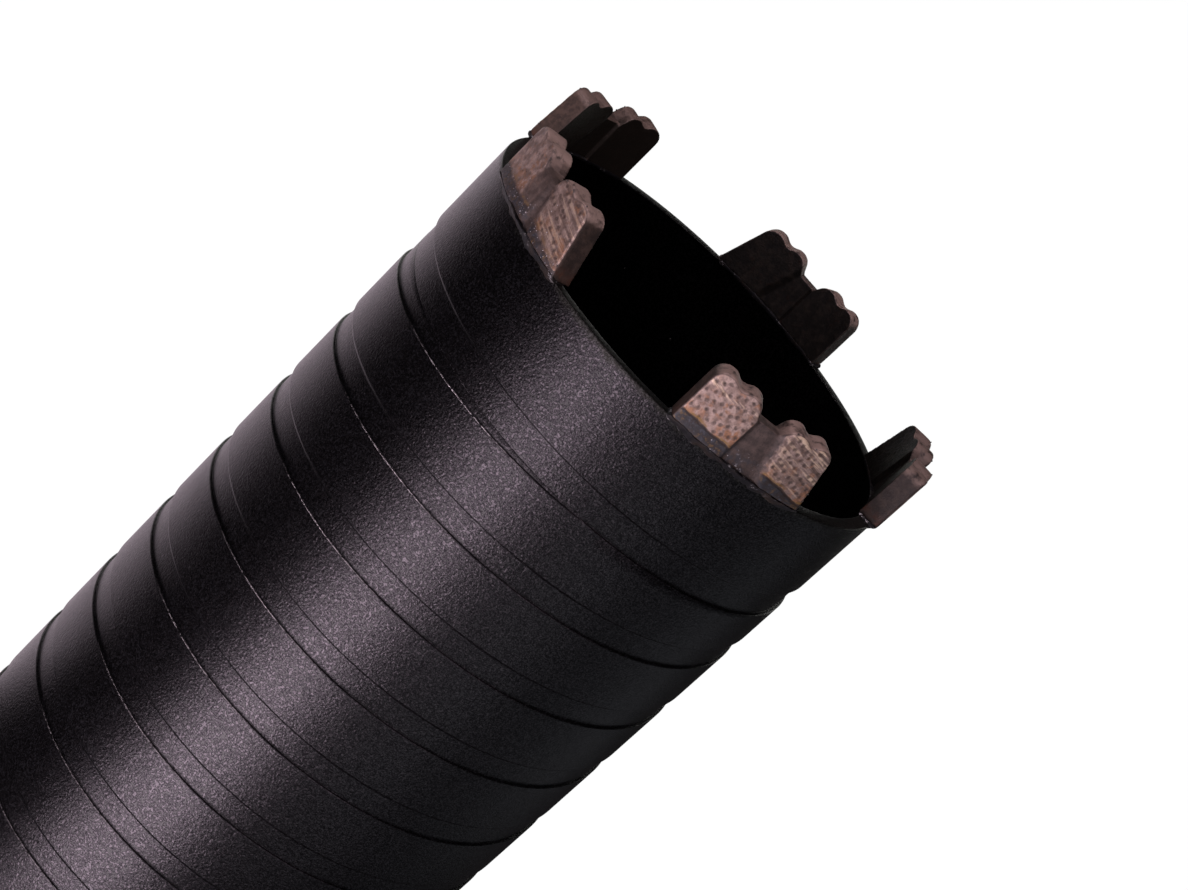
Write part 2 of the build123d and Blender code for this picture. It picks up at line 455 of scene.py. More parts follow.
def close_shell(
    name: str, parts: list[bpy.types.Object], material: bpy.types.Material
) -> bpy.types.Object:
    """Joins open surfaces that share their borders into one closed shell with its faces outwards.

    Args:
        name: Name of the new object.
        parts: The surfaces, which are removed.
        material: Material of the whole shell.

    Returns:
        The shell.
    """
    shell = bmesh.new()
    for part in parts:
        shell.from_mesh(part.data)
        bpy.data.objects.remove(part)
    bmesh.ops.remove_doubles(shell, verts=shell.verts, dist=MERGE_DISTANCE * MM)
    bmesh.ops.recalc_face_normals(shell, faces=shell.faces)
    open_edges = sum(not edge.is_manifold for edge in shell.edges)
    for face in shell.faces:
        face.smooth = True
        face.material_index = 0
    obj = mesh_object(name, np.zeros((0, 3)), [])
    shell.to_mesh(obj.data)
    shell.free()
    obj.data.materials.append(material)
    LOG.info("%s: %d faces, %d open edges", name, len(obj.data.polygons), open_edges)
    return obj


def copy_node(name: str, node: bpy.types.Object) -> bpy.types.Object:
    """Copies a solid of the frame as a merged mesh of its own, without its materials."""
    merged = bmesh.new()
    merged.from_mesh(node.data)
    bmesh.ops.remove_doubles(merged, verts=merged.verts, dist=MERGE_DISTANCE * MM)
    obj = mesh_object(name, np.zeros((0, 3)), [])
    merged.to_mesh(obj.data)
    merged.free()
    return obj


class MeshTree:
    """A geometry node tree with named inputs, which can be run on an object and baked."""

    def __init__(self, name: str, values: dict[str, float | int | bpy.types.Object | None]) -> None:
        """Makes an empty tree.

        Args:
            name: Name of the tree.
            values: Usual value of each number or object that it takes. None stands for an object.
        """
        self.tree = bpy.data.node_groups.new(name, "GeometryNodeTree")
        self.values = values
        interface = self.tree.interface
        interface.new_socket("Geometry", in_out="INPUT", socket_type="NodeSocketGeometry")
        kinds = {float: "NodeSocketFloat", int: "NodeSocketInt"}
        for key, value in values.items():
            kind = kinds.get(type(value), "NodeSocketObject")
            interface.new_socket(key, in_out="INPUT", socket_type=kind)
        interface.new_socket("Material", in_out="INPUT", socket_type="NodeSocketMaterial")
        interface.new_socket("Geometry", in_out="OUTPUT", socket_type="NodeSocketGeometry")
        self.graph = Graph(self.tree)
        self.inputs = self.graph.node("NodeGroupInput").outputs

    def point_count(self) -> Socket:
        """Number of points of the mesh that the tree is given."""
        settings = {"component": "MESH"}
        given = self.inputs["Geometry"]
        return self.graph.result("GeometryNodeAttributeDomainSize", settings, Geometry=given)

    def point_at(self, index: Value) -> Socket:
        """Place of one point of the mesh that the tree is given."""
        return self.graph.result(
            "GeometryNodeSampleIndex",
            {"data_type": "FLOAT_VECTOR"},
            Geometry=self.inputs["Geometry"],
            Value=self.graph.result("GeometryNodeInputPosition"),
            Index=self.graph.math("ROUND", index),
        )

    def finish_wound(self, grid: Socket, place: Socket) -> None:
        """Ends a tree that winds a grid round the axis: its points placed and its seam welded."""
        wound = self.graph.result("GeometryNodeSetPosition", Geometry=grid, Position=place)
        self.finish(
            self.graph.result(
                "GeometryNodeMergeByDistance", Geometry=wound, Distance=MERGE_DISTANCE * MM
            )
        )

    def finish(self, geometry: Socket, smooth: bool = True) -> None:
        """Ends the tree: instances made real, shading and material set."""
        graph = self.graph
        real = graph.result("GeometryNodeRealizeInstances", Geometry=geometry)
        shaded = graph.result("GeometryNodeSetShadeSmooth", Geometry=real, Shade_Smooth=smooth)
        material = self.inputs["Material"]
        dressed = graph.result("GeometryNodeSetMaterial", Geometry=shaded, Material=material)
        graph.feed(graph.node("NodeGroupOutput").inputs[0], dressed)

    def add_to(
        self,
        obj: bpy.types.Object,
        material: bpy.types.Material,
        **changes: float | int | bpy.types.Object,
    ) -> None:
        """Adds the tree to an object as a modifier.

        Args:
            obj: Object to add it to.
            material: Material that it sets.
            changes: Values that aren't the usual ones, by their names with underscores for spaces.
        """
        modifier = obj.modifiers.new(self.tree.name, "NODES")
        modifier.node_group = self.tree
        changed = {key.replace("_", " "): value for key, value in changes.items()}
        values = {**self.values, **changed}
        values["Material"] = material
        for item in self.tree.interface.items_tree:
            if item.in_out == "INPUT" and item.name in values:
                modifier[item.identifier] = values[item.name]


@dataclass(frozen=True)
class GroovedWall:
    """Round wall with a helical groove: one long strip, wound round the axis and welded."""

    radius: float
    groove_depth: float  # towards the axis, or away from it if negative
    groove_width: float  # at the wall's face
    low_run: float  # run of the groove's lower flank
    high_run: float
    pitch: float
    middle_z: float  # height of one of the groove's middles at angle 0
    low_z: float
    high_z: float
    columns: int  # points in one turn
    lip_run: float = 0.0  # run of a bevel at the start of the lower flank
    lip_share: float = 0.0  # its share of the depth
    flank_steps: int = 5
    land_steps: int = 3

    def depth(self, angles: np.ndarray, height: float) -> np.ndarray:
        """Depth of the groove at some angles, in degrees, and one height."""
        offset = height - self.middle_z - self.pitch * np.asarray(angles) / 360
        offset = (offset + self.pitch / 2) % self.pitch - self.pitch / 2
        half = self.groove_width / 2
        steep = np.clip((offset + half - self.lip_run) / (self.low_run - self.lip_run), 0, 1)
        bevel = np.clip((offset + half) / max(self.lip_run, 1e-6), 0, 1)
        fall = np.clip((offset - half + self.high_run) / self.high_run, 0, 1)
        rise = self.lip_share * bevel + (1 - self.lip_share) * eased(steep)
        return self.groove_depth * (rise - eased(fall))

    def lip(self, height: float) -> np.ndarray:
        """Radius of the wall at one height, for each column."""
        return self.radius - self.depth(360 * np.arange(self.columns) / self.columns, height)

    def row_offsets(self) -> np.ndarray:
        """Heights of the strip's rows over the groove's middle, closer together at the flanks."""
        half_pitch, half = self.pitch / 2, self.groove_width / 2
        low = (-half, -half + self.low_run)
        high = (half - self.high_run, half)
        stretches = [
            np.linspace(-half_pitch, low[0], self.land_steps + 1),
            np.linspace(low[0] + self.lip_run, low[1], self.flank_steps + 1),
            np.linspace(low[1], high[0], self.land_steps + 1),
            np.linspace(*high, self.flank_steps + 1),
            np.linspace(high[1], half_pitch, self.land_steps + 1),
        ]
        guard = 0.02 * self.groove_width
        guards = [low[0] - guard, low[1] + guard, high[0] - guard, high[1] + guard]
        if self.lip_run:
            guards += [low[0] + 0.15 * self.lip_run, low[0] + 0.85 * self.lip_run]
        return np.unique(np.round(np.concatenate([*stretches, guards]), 6))

    def build(self, name: str, material: bpy.types.Material) -> bpy.types.Object:
        """Makes the wall as a mesh object, open at its two ends."""
        turns_below = int((self.middle_z - self.low_z) / self.pitch + 1.5)
        start_z = self.middle_z - turns_below * self.pitch
        length = int(self.columns * ((self.high_z - start_z) / self.pitch + 0.5)) + 2
        sizes = {
            "Radius": self.radius * MM,
            "Groove depth": self.groove_depth * MM,
            "Groove width": self.groove_width * MM,
            "Low flank": self.low_run * MM,
            "Lip run": self.lip_run * MM,
            "Lip share": self.lip_share,
            "High flank": self.high_run * MM,
            "Pitch": self.pitch * MM,
            "Start height": start_z * MM,
            "Low end": self.low_z * MM,
            "High end": self.high_z * MM,
        }
        tree = MeshTree(name, {**sizes, "Columns a turn": self.columns, "Columns": length})
        self._fill(tree)
        offsets = self.row_offsets()
        rows = np.stack([offsets, 0 * offsets, 0 * offsets], 1)
        obj = mesh_object(name, rows, [])
        tree.add_to(obj, material)
        return bake_modifiers(obj)

    def _fill(self, tree: MeshTree) -> None:
        """Fills the tree that winds the rows, given as points along X, into the wall."""
        g, given = tree.graph, tree.inputs
        count = tree.point_count()
        grid = g.result("GeometryNodeMeshGrid", Vertices_X=given["Columns"], Vertices_Y=count)
        index = g.result("GeometryNodeInputIndex")
        column = g.math("FLOOR", g.divide(index, count))
        offset = g.separate(tree.point_at(g.math("MODULO", index, count)))[0]
        a_turn = given["Columns a turn"]
        middle = g.add(
            given["Start height"], g.multiply(g.divide(column, a_turn), given["Pitch"])
        )
        height = g.maximum(g.minimum(g.add(middle, offset), given["High end"]), given["Low end"])
        half_pitch = g.multiply(given["Pitch"], 0.5)
        place = g.math("WRAP", g.subtract(height, middle), half_pitch, g.multiply(half_pitch, -1.0))
        half = g.multiply(given["Groove width"], 0.5)
        low = g.multiply(half, -1.0)
        steep = g.ramp(place, g.add(low, given["Lip run"]), g.add(low, given["Low flank"]))
        run = g.maximum(given["Lip run"], 1e-9)
        bevel = g.minimum(g.maximum(g.divide(g.subtract(place, low), run), 0.0), 1.0)
        share = given["Lip share"]
        rise = g.add(g.multiply(bevel, share), g.multiply(steep, g.invert(share)))
        fall = g.ramp(place, g.subtract(half, given["High flank"]), half)
        depth = g.multiply(g.subtract(rise, fall), given["Groove depth"])
        part_turn = g.divide(g.math("MODULO", column, a_turn), a_turn)
        tree.finish_wound(grid, g.polar(g.subtract(given["Radius"], depth), part_turn, height))


# ---- finishes ----


def shade(colour: Colour, factor: float) -> Colour:
    """Colour made darker or lighter by a factor."""
    return tuple(factor * part for part in colour)


def new_material(name: str) -> tuple[bpy.types.Material, Graph, bpy.types.Node, Socket]:
    """Starts a material.

    Args:
        name: Its name.

    Returns:
        The material, its graph, its main shader, and the place on the piece in millimetres.
    """
    material = bpy.data.materials.new(name)
    material.use_nodes = True
    graph = Graph(material.node_tree)
    shader = graph.node("ShaderNodeBsdfPrincipled")
    output = graph.node("ShaderNodeOutputMaterial")
    graph.feed(output.inputs["Surface"], shader.outputs[0])
    place = graph.scaled(graph.node("ShaderNodeTexCoord").outputs["Object"], 1.0 / MM)
    return material, graph, shader, place


def dress(graph: Graph, shader: bpy.types.Node, **inputs: Value) -> None:
    """Feeds the inputs of a shader, by their names with underscores for spaces."""
    for name, value in inputs.items():
        graph.feed(shader.inputs[name.replace("_", " ")], value)


def add_bump(
    graph: Graph, shader: bpy.types.Node, height: Socket, distance: float, strength: float
) -> None:
    """Gives a shader a bumpy surface, from a height of 0 to 1 and its depth in millimetres."""
    bump = graph.result("ShaderNodeBump", Height=height, Distance=distance * MM, Strength=strength)
    dress(graph, shader, Normal=bump)


@dataclass(frozen=True)
class PowderCoat:
    """Satin black powder coat with a fine orange-peel grain, scorched near its rim, and a painted
    glint on the recess's lip.
    """

    name: str = "powder_coat"
    colour: Colour = (0.0036, 0.0036, 0.0042)
    scorched: Colour = (0.0155, 0.016, 0.013)
    glitter: Colour = (0.050, 0.047, 0.050)
    dust: Colour = (0.12, 0.115, 0.11)
    # colour of the painted glint on the recess's lip
    edge_glint: Colour = (0.27, 0.257, 0.26)
    roughness: float = 0.33
    specular: float = 0.30
    grain: float = 1.0
    rim_z: float = 0.0  # height of the rim that the soldering scorched, if above 0
    face_radius: float = 0.0  # radius of the coated face that the rim belongs to
    glint_angle: float = -118.0  # middle of the side on which the recess's lip gets a painted glint
    glint_spread: Pair = (26.0, 9.0)  # degrees from there at which the painted glint starts and is full

    def material(self) -> bpy.types.Material:
        """Makes the material."""
        material, g, shader, place = new_material(self.name)
        mottled = g.clouds(place, 9.0, 3.0, 0.35, 0.7)
        specks = g.specks(place, 2.6, 0.035, 0.055)
        glitter = g.noise(place, 0.34, 1.5, 0.6)
        colour = g.layers(
            self.colour,
            (mottled, shade(self.colour, 1.3)),
            (g.multiply(specks, 0.5), self.dust),
            (g.ramp(glitter, 0.44, 0.70, 0.0, self.grain), self.glitter),
        )
        smoothest, roughest = self.roughness - 0.01, self.roughness + 0.01
        rough = g.clouds(place, 3.0, 3.0, 0.3, 0.7, smoothest, roughest)
        rough = g.add(rough, g.multiply(g.centred(g.noise(place, 0.33, 1.0)), 0.16))
        if self.rim_z:
            colour, rough = self._lip_glint_and_scorch(g, place, colour, rough)
        dress(
            g,
            shader,
            Base_Color=colour,
            Roughness=rough,
            Metallic=g.ramp(glitter, 0.40, 0.50, 0.0, self.grain),
            Specular_IOR_Level=self.specular,
        )
        peel = g.add(g.noise(place, 0.38, 2.0, 0.6), g.multiply(specks, 0.12))
        add_bump(g, shader, peel, 0.08, self.grain)
        return material

    def _lip_glint_and_scorch(
        self, g: Graph, place: Socket, colour: Socket, rough: Socket
    ) -> tuple[Socket, Socket]:
        """Paints a glint on the recess's lip on one side and scorches the coat near the rim.

        Args:
            g: Graph to work in.
            place: Place in millimetres.
            colour: Colour of the coat.
            rough: Its roughness.

        Returns:
            The new colour and roughness.
        """
        x, y, z = g.separate(place)
        turn = g.subtract(g.math("ARCTAN2", y, x), radians(self.glint_angle))
        away = g.absolute(g.math("WRAP", turn, pi, -pi))
        side = g.ramp(away, *map(radians, self.glint_spread))
        up = g.separate(g.node("ShaderNodeTexCoord").outputs["Normal"])[2]
        near_face = g.ramp(g.reach(x, y), self.face_radius - 0.2, self.face_radius - 0.12)
        # painted glint: a light line where the lip's bevel faces up, on one side only
        lip = g.multiply(
            g.ramp(up, 0.3, 0.5),
            g.clouds(place, 0.5, 3.0, 0.34, 0.56),
            side,
            near_face,
            g.ramp(z, 50.0, 130.0, 0.55, 1.0),  # fainter towards the hub
            g.ramp(z, self.rim_z - 1.0, self.rim_z - 1.5),  # none on the rim itself
        )
        wander = g.multiply(g.centred(g.noise(place, 2.2, 4.0)), 2.6)
        near_rim = g.ramp(g.add(z, wander), self.rim_z - 1.2, self.rim_z - 0.1)
        scorch = (g.multiply(near_rim, 0.7), self.scorched)
        # lays the painted glint and the scorch over the coat
        colour = g.layers(colour, (lip, self.edge_glint), scorch)
        return colour, g.add(rough, g.multiply(near_rim, 0.12))


@dataclass(frozen=True)
class SegmentSkin:
    """Sockets that several parts of the segments' finish share. The shares run from 0 to 1."""

    place: Socket  # in millimetres
    along: Socket  # distance along the segment from its middle
    height: Socket  # over its foot
    radius: Socket
    number: Socket  # of the segment, as CrownGrid counts
    rubbed: Socket  # share of the segment whose face has been rubbed most
    leading: Socket  # share of the leading tooth
    facing: Socket  # how far the skin faces away from the axis, -1 to 1
    up: Socket  # how far it faces the crown's open end, -1 to 1
    mottle: Socket
    broad: Socket
    fine: Socket
    outwards: Socket  # share of the outer skin
    depth: Socket  # radius with a ragged edge
    rise: Socket  # height over the bare strip at the foot
    face: Socket  # share of the rubbed, coppery face

    @classmethod
    def survey(cls, g: Graph, crown: CrownGrid, place: Socket) -> "SegmentSkin":
        """Works out the sockets.

        Args:
            g: Graph to work in.
            crown: Layout of the segments.
            place: Place in millimetres.

        Returns:
            The sockets.
        """
        along, height, radius, number = crown.sockets(g, place)
        leading = g.ramp(along, 0.5, 1.5)
        x, y, _ = g.separate(place)
        normal = g.node("ShaderNodeTexCoord").outputs["Normal"]
        up = g.separate(normal)[2]
        facing = g.divide(g.dot(normal, g.combine(x, y, 0.0)), radius)
        outwards = g.multiply(g.ramp(facing, 0.50, 0.78), g.ramp(up, 0.55, 0.3))
        ragged = g.multiply(g.centred(g.noise(place, 0.8, 3.0)), leading, 0.5)
        ledge = g.choose(leading, crown.crown_radius - 0.13, crown.crown_radius - 0.36)
        depth = g.add(g.attribute(FACE_RADIUS), ragged)
        proud = g.ramp(depth, ledge, g.add(ledge, 0.12))
        strip = g.add(crown.strip(g, along), 0.1)
        wander = g.multiply(g.centred(g.noise(place, 1.9, 3.0)), 0.9)
        rise = g.subtract(g.subtract(height, strip), wander)
        return cls(
            place=place,
            along=along,
            height=height,
            radius=radius,
            number=number,
            rubbed=crown.on_segment(g, number, crown.smeared),
            leading=leading,
            facing=facing,
            up=up,
            mottle=g.noise(place, 1.3, 4.0, 0.6),
            broad=g.noise(place, 3.4, 2.0),
            fine=g.noise(place, 0.28, 3.0, 0.6),
            outwards=outwards,
            depth=depth,
            rise=rise,
            face=g.multiply(proud, outwards, g.ramp(rise, -0.25, 0.0)),
        )


@dataclass(frozen=True)
class SinteredMatrix:
    """Sintered metal, coppery on the cutting faces, dull elsewhere and dark round diamonds."""

    crown: CrownGrid
    name: str = "sintered_matrix"
    copper: Colour = (0.200, 0.142, 0.117)
    pale: Colour = (0.385, 0.291, 0.249)
    orange: Colour = (0.32, 0.155, 0.075)
    ochre: Colour = (0.20, 0.115, 0.03)
    bright: Colour = (0.72, 0.56, 0.40)
    brown: Colour = (0.070, 0.048, 0.040)
    waist: Colour = (0.066, 0.047, 0.040)
    # near-black inner side: soot and painted shade
    soot_and_shade: Colour = (0.0052, 0.0043, 0.0031)
    char_and_shade: Colour = (0.0165, 0.0125, 0.0090)
    end_brown: Colour = (0.038, 0.0245, 0.018)
    steel_blue: Colour = (0.0160, 0.0172, 0.0215)
    rust: Colour = (0.070, 0.022, 0.009)
    silver: Colour = (0.62, 0.60, 0.62)
    drag_slope: float = -0.2  # rise of the drag marks for each millimetre along
    lightest_segment: int = 1  # segment whose inner side and ends are lightest, with the least soot and painted shade
    dim_crest_segment: int = 4  # segment whose painted crest highlight is weakest, next to the lightest one
    bump_depth: float = 0.12

    def material(self) -> bpy.types.Material:
        """Makes the material."""
        material, g, shader, place = new_material(self.name)
        skin = SegmentSkin.survey(g, self.crown, place)
        drag, dragged = self._drag(g, skin)
        halo = self._halo(g, skin)
        inner = self._inner(g, skin)
        # painted highlight: edges that stand out of their surroundings get a lighter colour
        edge = g.ramp(g.attribute(EDGE_BULGE), 0.03, 0.11)
        edge_glint = g.multiply(edge, g.clouds(place, 0.7, 2.0, 0.36, 0.56))
        on_face = g.multiply(
            g.ramp(skin.facing, 0.75, 0.92), g.ramp(g.attribute(FACE_RADIUS), 37.7, 37.9)
        )
        groove = g.multiply(on_face, g.ramp(skin.rise, 0.26, 0.10), g.ramp(skin.rise, -0.30, -0.05))
        groove = g.multiply(groove, g.choose(skin.rubbed, 0.85, 0.2))
        away = g.absolute(g.add(skin.along, 1.2))
        splash = g.multiply(g.ramp(away, 4.2, 2.0), g.ramp(skin.height, 3.4, 1.6), skin.outwards)
        glints = self._glints(g, skin, splash)

        dull = self._dull_colour(g, skin, inner, edge_glint)
        colour = g.blend(skin.face, dull, self._face_colour(g, skin, drag, dragged, halo))
        colour = self._foot_colour(g, skin, on_face, colour)
        grey = g.multiply(splash, g.clouds(place, 0.9, 3.0, 0.45, 0.6))
        colour = g.layers(
            colour,
            (groove, shade(self.brown, 0.3)),
            (g.multiply(grey, 0.6), shade(self.steel_blue, 1.6)),
            (g.multiply(glints, 0.8), self.silver),
        )
        metal = g.maximum(g.choose(skin.face, 0.15, 0.45), g.multiply(glints, 0.8))
        # painted shade: the near-black inner side turns metallic, so that it reflects almost nothing
        metal = g.maximum(metal, g.multiply(inner, g.invert(edge_glint), 0.65))
        rough = g.subtract(g.ramp(skin.fine, 0.3, 0.7, 0.48, 0.64), g.multiply(dragged, 0.14))
        dress(g, shader, Base_Color=colour, Metallic=metal, Roughness=rough)

        relief = g.add(g.multiply(skin.fine, 0.5), g.multiply(dragged, drag, 1.2))
        relief = g.add(relief, g.multiply(skin.mottle, 0.6))
        relief = g.subtract(g.add(relief, g.multiply(glints, 0.4)), g.multiply(groove, 0.7))
        relief = g.subtract(relief, g.multiply(halo, 0.3))
        add_bump(g, shader, relief, self.bump_depth, 0.7)
        return material

    def _drag(self, g: Graph, skin: SegmentSkin) -> tuple[Socket, Socket]:
        """Marks that the cut dragged along the faces.

        Args:
            g: Graph to work in.
            skin: Sockets of the skin.

        Returns:
            Long streaks as noise, and the share of the skin that has them.
        """
        level = g.subtract(skin.height, g.multiply(skin.along, self.drag_slope))
        streaks = g.combine(g.multiply(skin.along, 0.10), level, g.multiply(skin.number, 7.0))
        drag = g.noise(streaks, 0.46, 2.0, 0.5)
        patch = g.noise(
            g.combine(skin.along, skin.height, g.multiply(skin.number, 5.0)), 2.6, 1.0
        )
        upper = g.ramp(g.add(skin.along, g.multiply(skin.height, 1.4)), 13.0, 16.0)
        crossed = g.multiply(
            g.ramp(skin.height, 6.0, 7.5), g.ramp(patch, 0.50, 0.58), g.invert(skin.leading)
        )
        on_leading = g.multiply(skin.leading, g.maximum(upper, 0.45))
        dragged = g.maximum(on_leading, g.multiply(crossed, 0.8))
        on_rubbed = g.multiply(skin.rubbed, g.ramp(skin.along, 1.5, 4.5))
        return drag, g.multiply(g.maximum(dragged, on_rubbed), skin.face)

    def _halo(self, g: Graph, skin: SegmentSkin) -> Socket:
        """Share of the dark ring round each diamond, weaker where the face has been rubbed."""
        ragged = g.multiply(g.centred(g.noise(skin.place, 0.4, 2.0)), 0.35)
        reach = g.add(g.attribute(GRIT_DISTANCE), ragged)
        kept = g.choose(g.multiply(skin.rubbed, g.invert(skin.leading)), 0.72, 0.30)
        return g.multiply(g.ramp(reach, 0.42, 0.17), skin.face, kept)

    def _inner(self, g: Graph, skin: SegmentSkin) -> Socket:
        """Share of the inner side and of the step behind the faces, which get soot and painted
        shade.
        """
        full = self.crown.crown_radius
        step = g.multiply(
            g.ramp(g.absolute(skin.along), 9.5, 8.5), g.ramp(skin.radius, full - 1.9, full - 2.3)
        )
        behind = g.multiply(step, g.ramp(skin.up, 0.8, 0.6))
        return g.maximum(g.ramp(skin.facing, -0.6, -0.9), behind)

    def _glints(self, g: Graph, skin: SegmentSkin, splash: Socket) -> Socket:
        """Share of the bright metal specks, which are dense in the splash and at a rubbed foot."""
        place = skin.place
        sparkle = g.multiply(
            g.ramp(g.noise(place, 0.34, 2.0, 0.6), 0.56, 0.66), g.clouds(place, 1.9, 1.0, 0.52, 0.6)
        )
        everywhere = g.multiply(g.specks(place, 0.75, 0.04, 0.16), skin.outwards)
        by_foot = g.multiply(
            g.specks(place, 0.42, 0.42, 0.22),
            skin.outwards,
            g.ramp(skin.height, 4.2, 1.6),
            skin.rubbed,
        )
        glints = g.maximum(everywhere, g.multiply(by_foot, 0.75))
        return g.maximum(glints, g.multiply(splash, sparkle, 0.7))

    def _face_colour(
        self, g: Graph, skin: SegmentSkin, drag: Socket, dragged: Socket, halo: Socket
    ) -> Socket:
        """Colour of the rubbed faces.

        Args:
            g: Graph to work in.
            skin: Sockets of the skin.
            drag: Long streaks as noise.
            dragged: Share of the skin that has them.
            halo: Share of the dark rings round the diamonds.

        Returns:
            The colour.
        """
        full = self.crown.crown_radius
        by_waist = g.multiply(g.ramp(skin.along, 4.2, 1.6), g.ramp(skin.height, 7.5, 5.0), 0.5)
        sunk = g.maximum(g.ramp(skin.depth, full - 0.01, full - 0.2), by_waist)
        low_lying = g.multiply(sunk, skin.leading)
        low_warmth = g.ramp(skin.height, 5.5, 2.5, 0.0, 0.12)
        warm = g.ramp(g.add(g.noise(skin.place, 0.9, 3.0), low_warmth), 0.50, 0.68)
        smear = g.multiply(g.ramp(drag, 0.50, 0.38), g.choose(skin.rubbed, 0.7, 0.5))
        shine = g.multiply(g.ramp(drag, 0.54, 0.64), g.choose(skin.rubbed, 0.85, 0.36))
        dulled = g.ramp(skin.mottle, 0.3, 0.6, 0.55, 0.2)
        return g.layers(
            g.blend(g.ramp(skin.mottle, 0.38, 0.64), self.copper, self.pale),
            (g.multiply(warm, g.ramp(skin.broad, 0.38, 0.6), 0.8), self.orange),
            (g.multiply(g.ramp(skin.fine, 0.54, 0.34), 0.4), self.brown),
            (g.multiply(dragged, smear), self.brown),
            (g.multiply(dragged, shine), self.bright),
            (g.multiply(skin.rubbed, g.ramp(skin.along, 0.0, 3.0), 0.3), self.brown),
            (g.multiply(low_lying, 0.75), self.brown),
            (g.multiply(skin.rubbed, g.invert(skin.leading), dulled), shade(self.waist, 1.5)),
            (halo, self.brown),
        )

    def _dull_colour(self, g: Graph, skin: SegmentSkin, inner: Socket, edge_glint: Socket) -> Socket:
        """Colour of all that isn't a rubbed face: inner side, ends, crests and waist, with painted
        shade on the inner side and painted highlights on crests and edges.

        Args:
            g: Graph to work in.
            skin: Sockets of the skin.
            inner: Share of the inner side.
            edge_glint: Share of the edges that get a painted highlight.

        Returns:
            The colour.
        """
        place, mottle = skin.place, skin.mottle
        # the lightest segment: its inner side and ends are lighter, with less soot and painted shade
        clean = self.crown.on_segment(g, skin.number, self.lightest_segment)
        dim_crests = self.crown.on_segment(g, skin.number, self.dim_crest_segment)
        sooty = g.multiply(
            g.clouds(place, 0.8, 3.0, 0.55, 0.7), g.ramp(skin.broad, 0.4, 0.6), 0.35
        )
        # inner side: near black, from soot and painted shade
        dull = g.layers(
            g.blend(g.ramp(mottle, 0.42, 0.7), self.soot_and_shade, self.char_and_shade),
            (sooty, shade(self.rust, 0.3)),
            (g.multiply(clean, 0.6), shade(self.char_and_shade, 1.9)),
        )
        lighter_end = g.multiply(clean, g.clouds(place, 0.6, 3.0, 0.38, 0.62, 0.35, 1.0), 0.8)
        ends = g.layers(
            g.blend(g.ramp(mottle, 0.36, 0.66), shade(self.end_brown, 0.45), self.end_brown),
            (lighter_end, shade(self.end_brown, 2.4)),
        )
        low = g.ramp(g.add(skin.height, g.multiply(mottle, 1.4)), 3.0, 0.9)
        rusty = g.multiply(low, g.clouds(place, 1.7, 3.0, 0.46, 0.68), g.invert(inner))
        # painted highlight: the crests get a lighter copper where they face up
        crests = g.multiply(
            g.ramp(skin.up, 0.25, 0.7), g.ramp(skin.height, 6.6, 8.4), g.ramp(mottle, 0.28, 0.52)
        )
        crests = g.multiply(crests, g.choose(clean, 0.85, 0.4), g.choose(dim_crests, 1.0, 0.6))
        full = self.crown.crown_radius
        valley = g.multiply(
            g.ramp(skin.up, 0.5, 0.8),
            g.ramp(skin.height, 8.3, 7.8),
            g.ramp(skin.radius, full - 2.2, full - 1.2),
        )
        waist = g.layers(
            g.blend(g.ramp(mottle, 0.36, 0.64), shade(self.waist, 0.5), self.waist),
            (g.ramp(mottle, 0.60, 0.74), shade(self.waist, 1.5)),
            (g.multiply(g.ramp(skin.fine, 0.5, 0.36), 0.5), shade(self.waist, 0.3)),
        )
        return g.layers(
            dull,
            (g.invert(inner), ends),
            (g.multiply(rusty, 0.6), self.rust),
            # painted highlight on the edges that stand out: a lighter waist colour
            (g.multiply(edge_glint, 0.7), g.blend(inner, self.waist, shade(self.waist, 2.4))),
            (crests, shade(self.copper, 1.45)),
            (g.maximum(skin.outwards, g.multiply(valley, 0.7)), waist),
        )

    def _foot_colour(self, g: Graph, skin: SegmentSkin, on_face: Socket, colour: Socket) -> Socket:
        """Colour with the scale on the bare strip at the foot and the heat tint over it.

        Args:
            g: Graph to work in.
            skin: Sockets of the skin.
            on_face: Share of the skin that lies as far out as the faces.
            colour: Colour without the strip.

        Returns:
            The new colour.
        """
        place, rise = skin.place, skin.rise
        soft = g.choose(skin.rubbed, 0.10, 0.8)
        foot = g.multiply(on_face, g.ramp(rise, soft, g.multiply(soft, -1.0)))
        left = g.multiply(skin.rubbed, g.clouds(place, 0.9, 3.0, 0.42, 0.58))
        tint_share = g.clouds(place, 2.1, 2.0, 0.42, 0.56)
        tint = g.multiply(on_face, g.ramp(rise, 0.75, 0.25), g.ramp(rise, 0.0, 0.25))
        spots = g.noise(place, 0.7, 3.0, 0.6)
        scale = g.layers(
            g.blend(g.ramp(skin.mottle, 0.36, 0.62), shade(self.brown, 0.3), self.steel_blue),
            (g.ramp(spots, 0.54, 0.66), shade(self.steel_blue, 2.2)),
            (g.multiply(g.ramp(spots, 0.47, 0.34), tint_share, 0.35), self.ochre),
        )
        return g.layers(
            colour,
            (g.multiply(tint, tint_share, g.choose(skin.rubbed, 0.85, 0.4)), self.ochre),
            (g.multiply(foot, g.choose(left, 0.96, 0.4)), scale),
        )


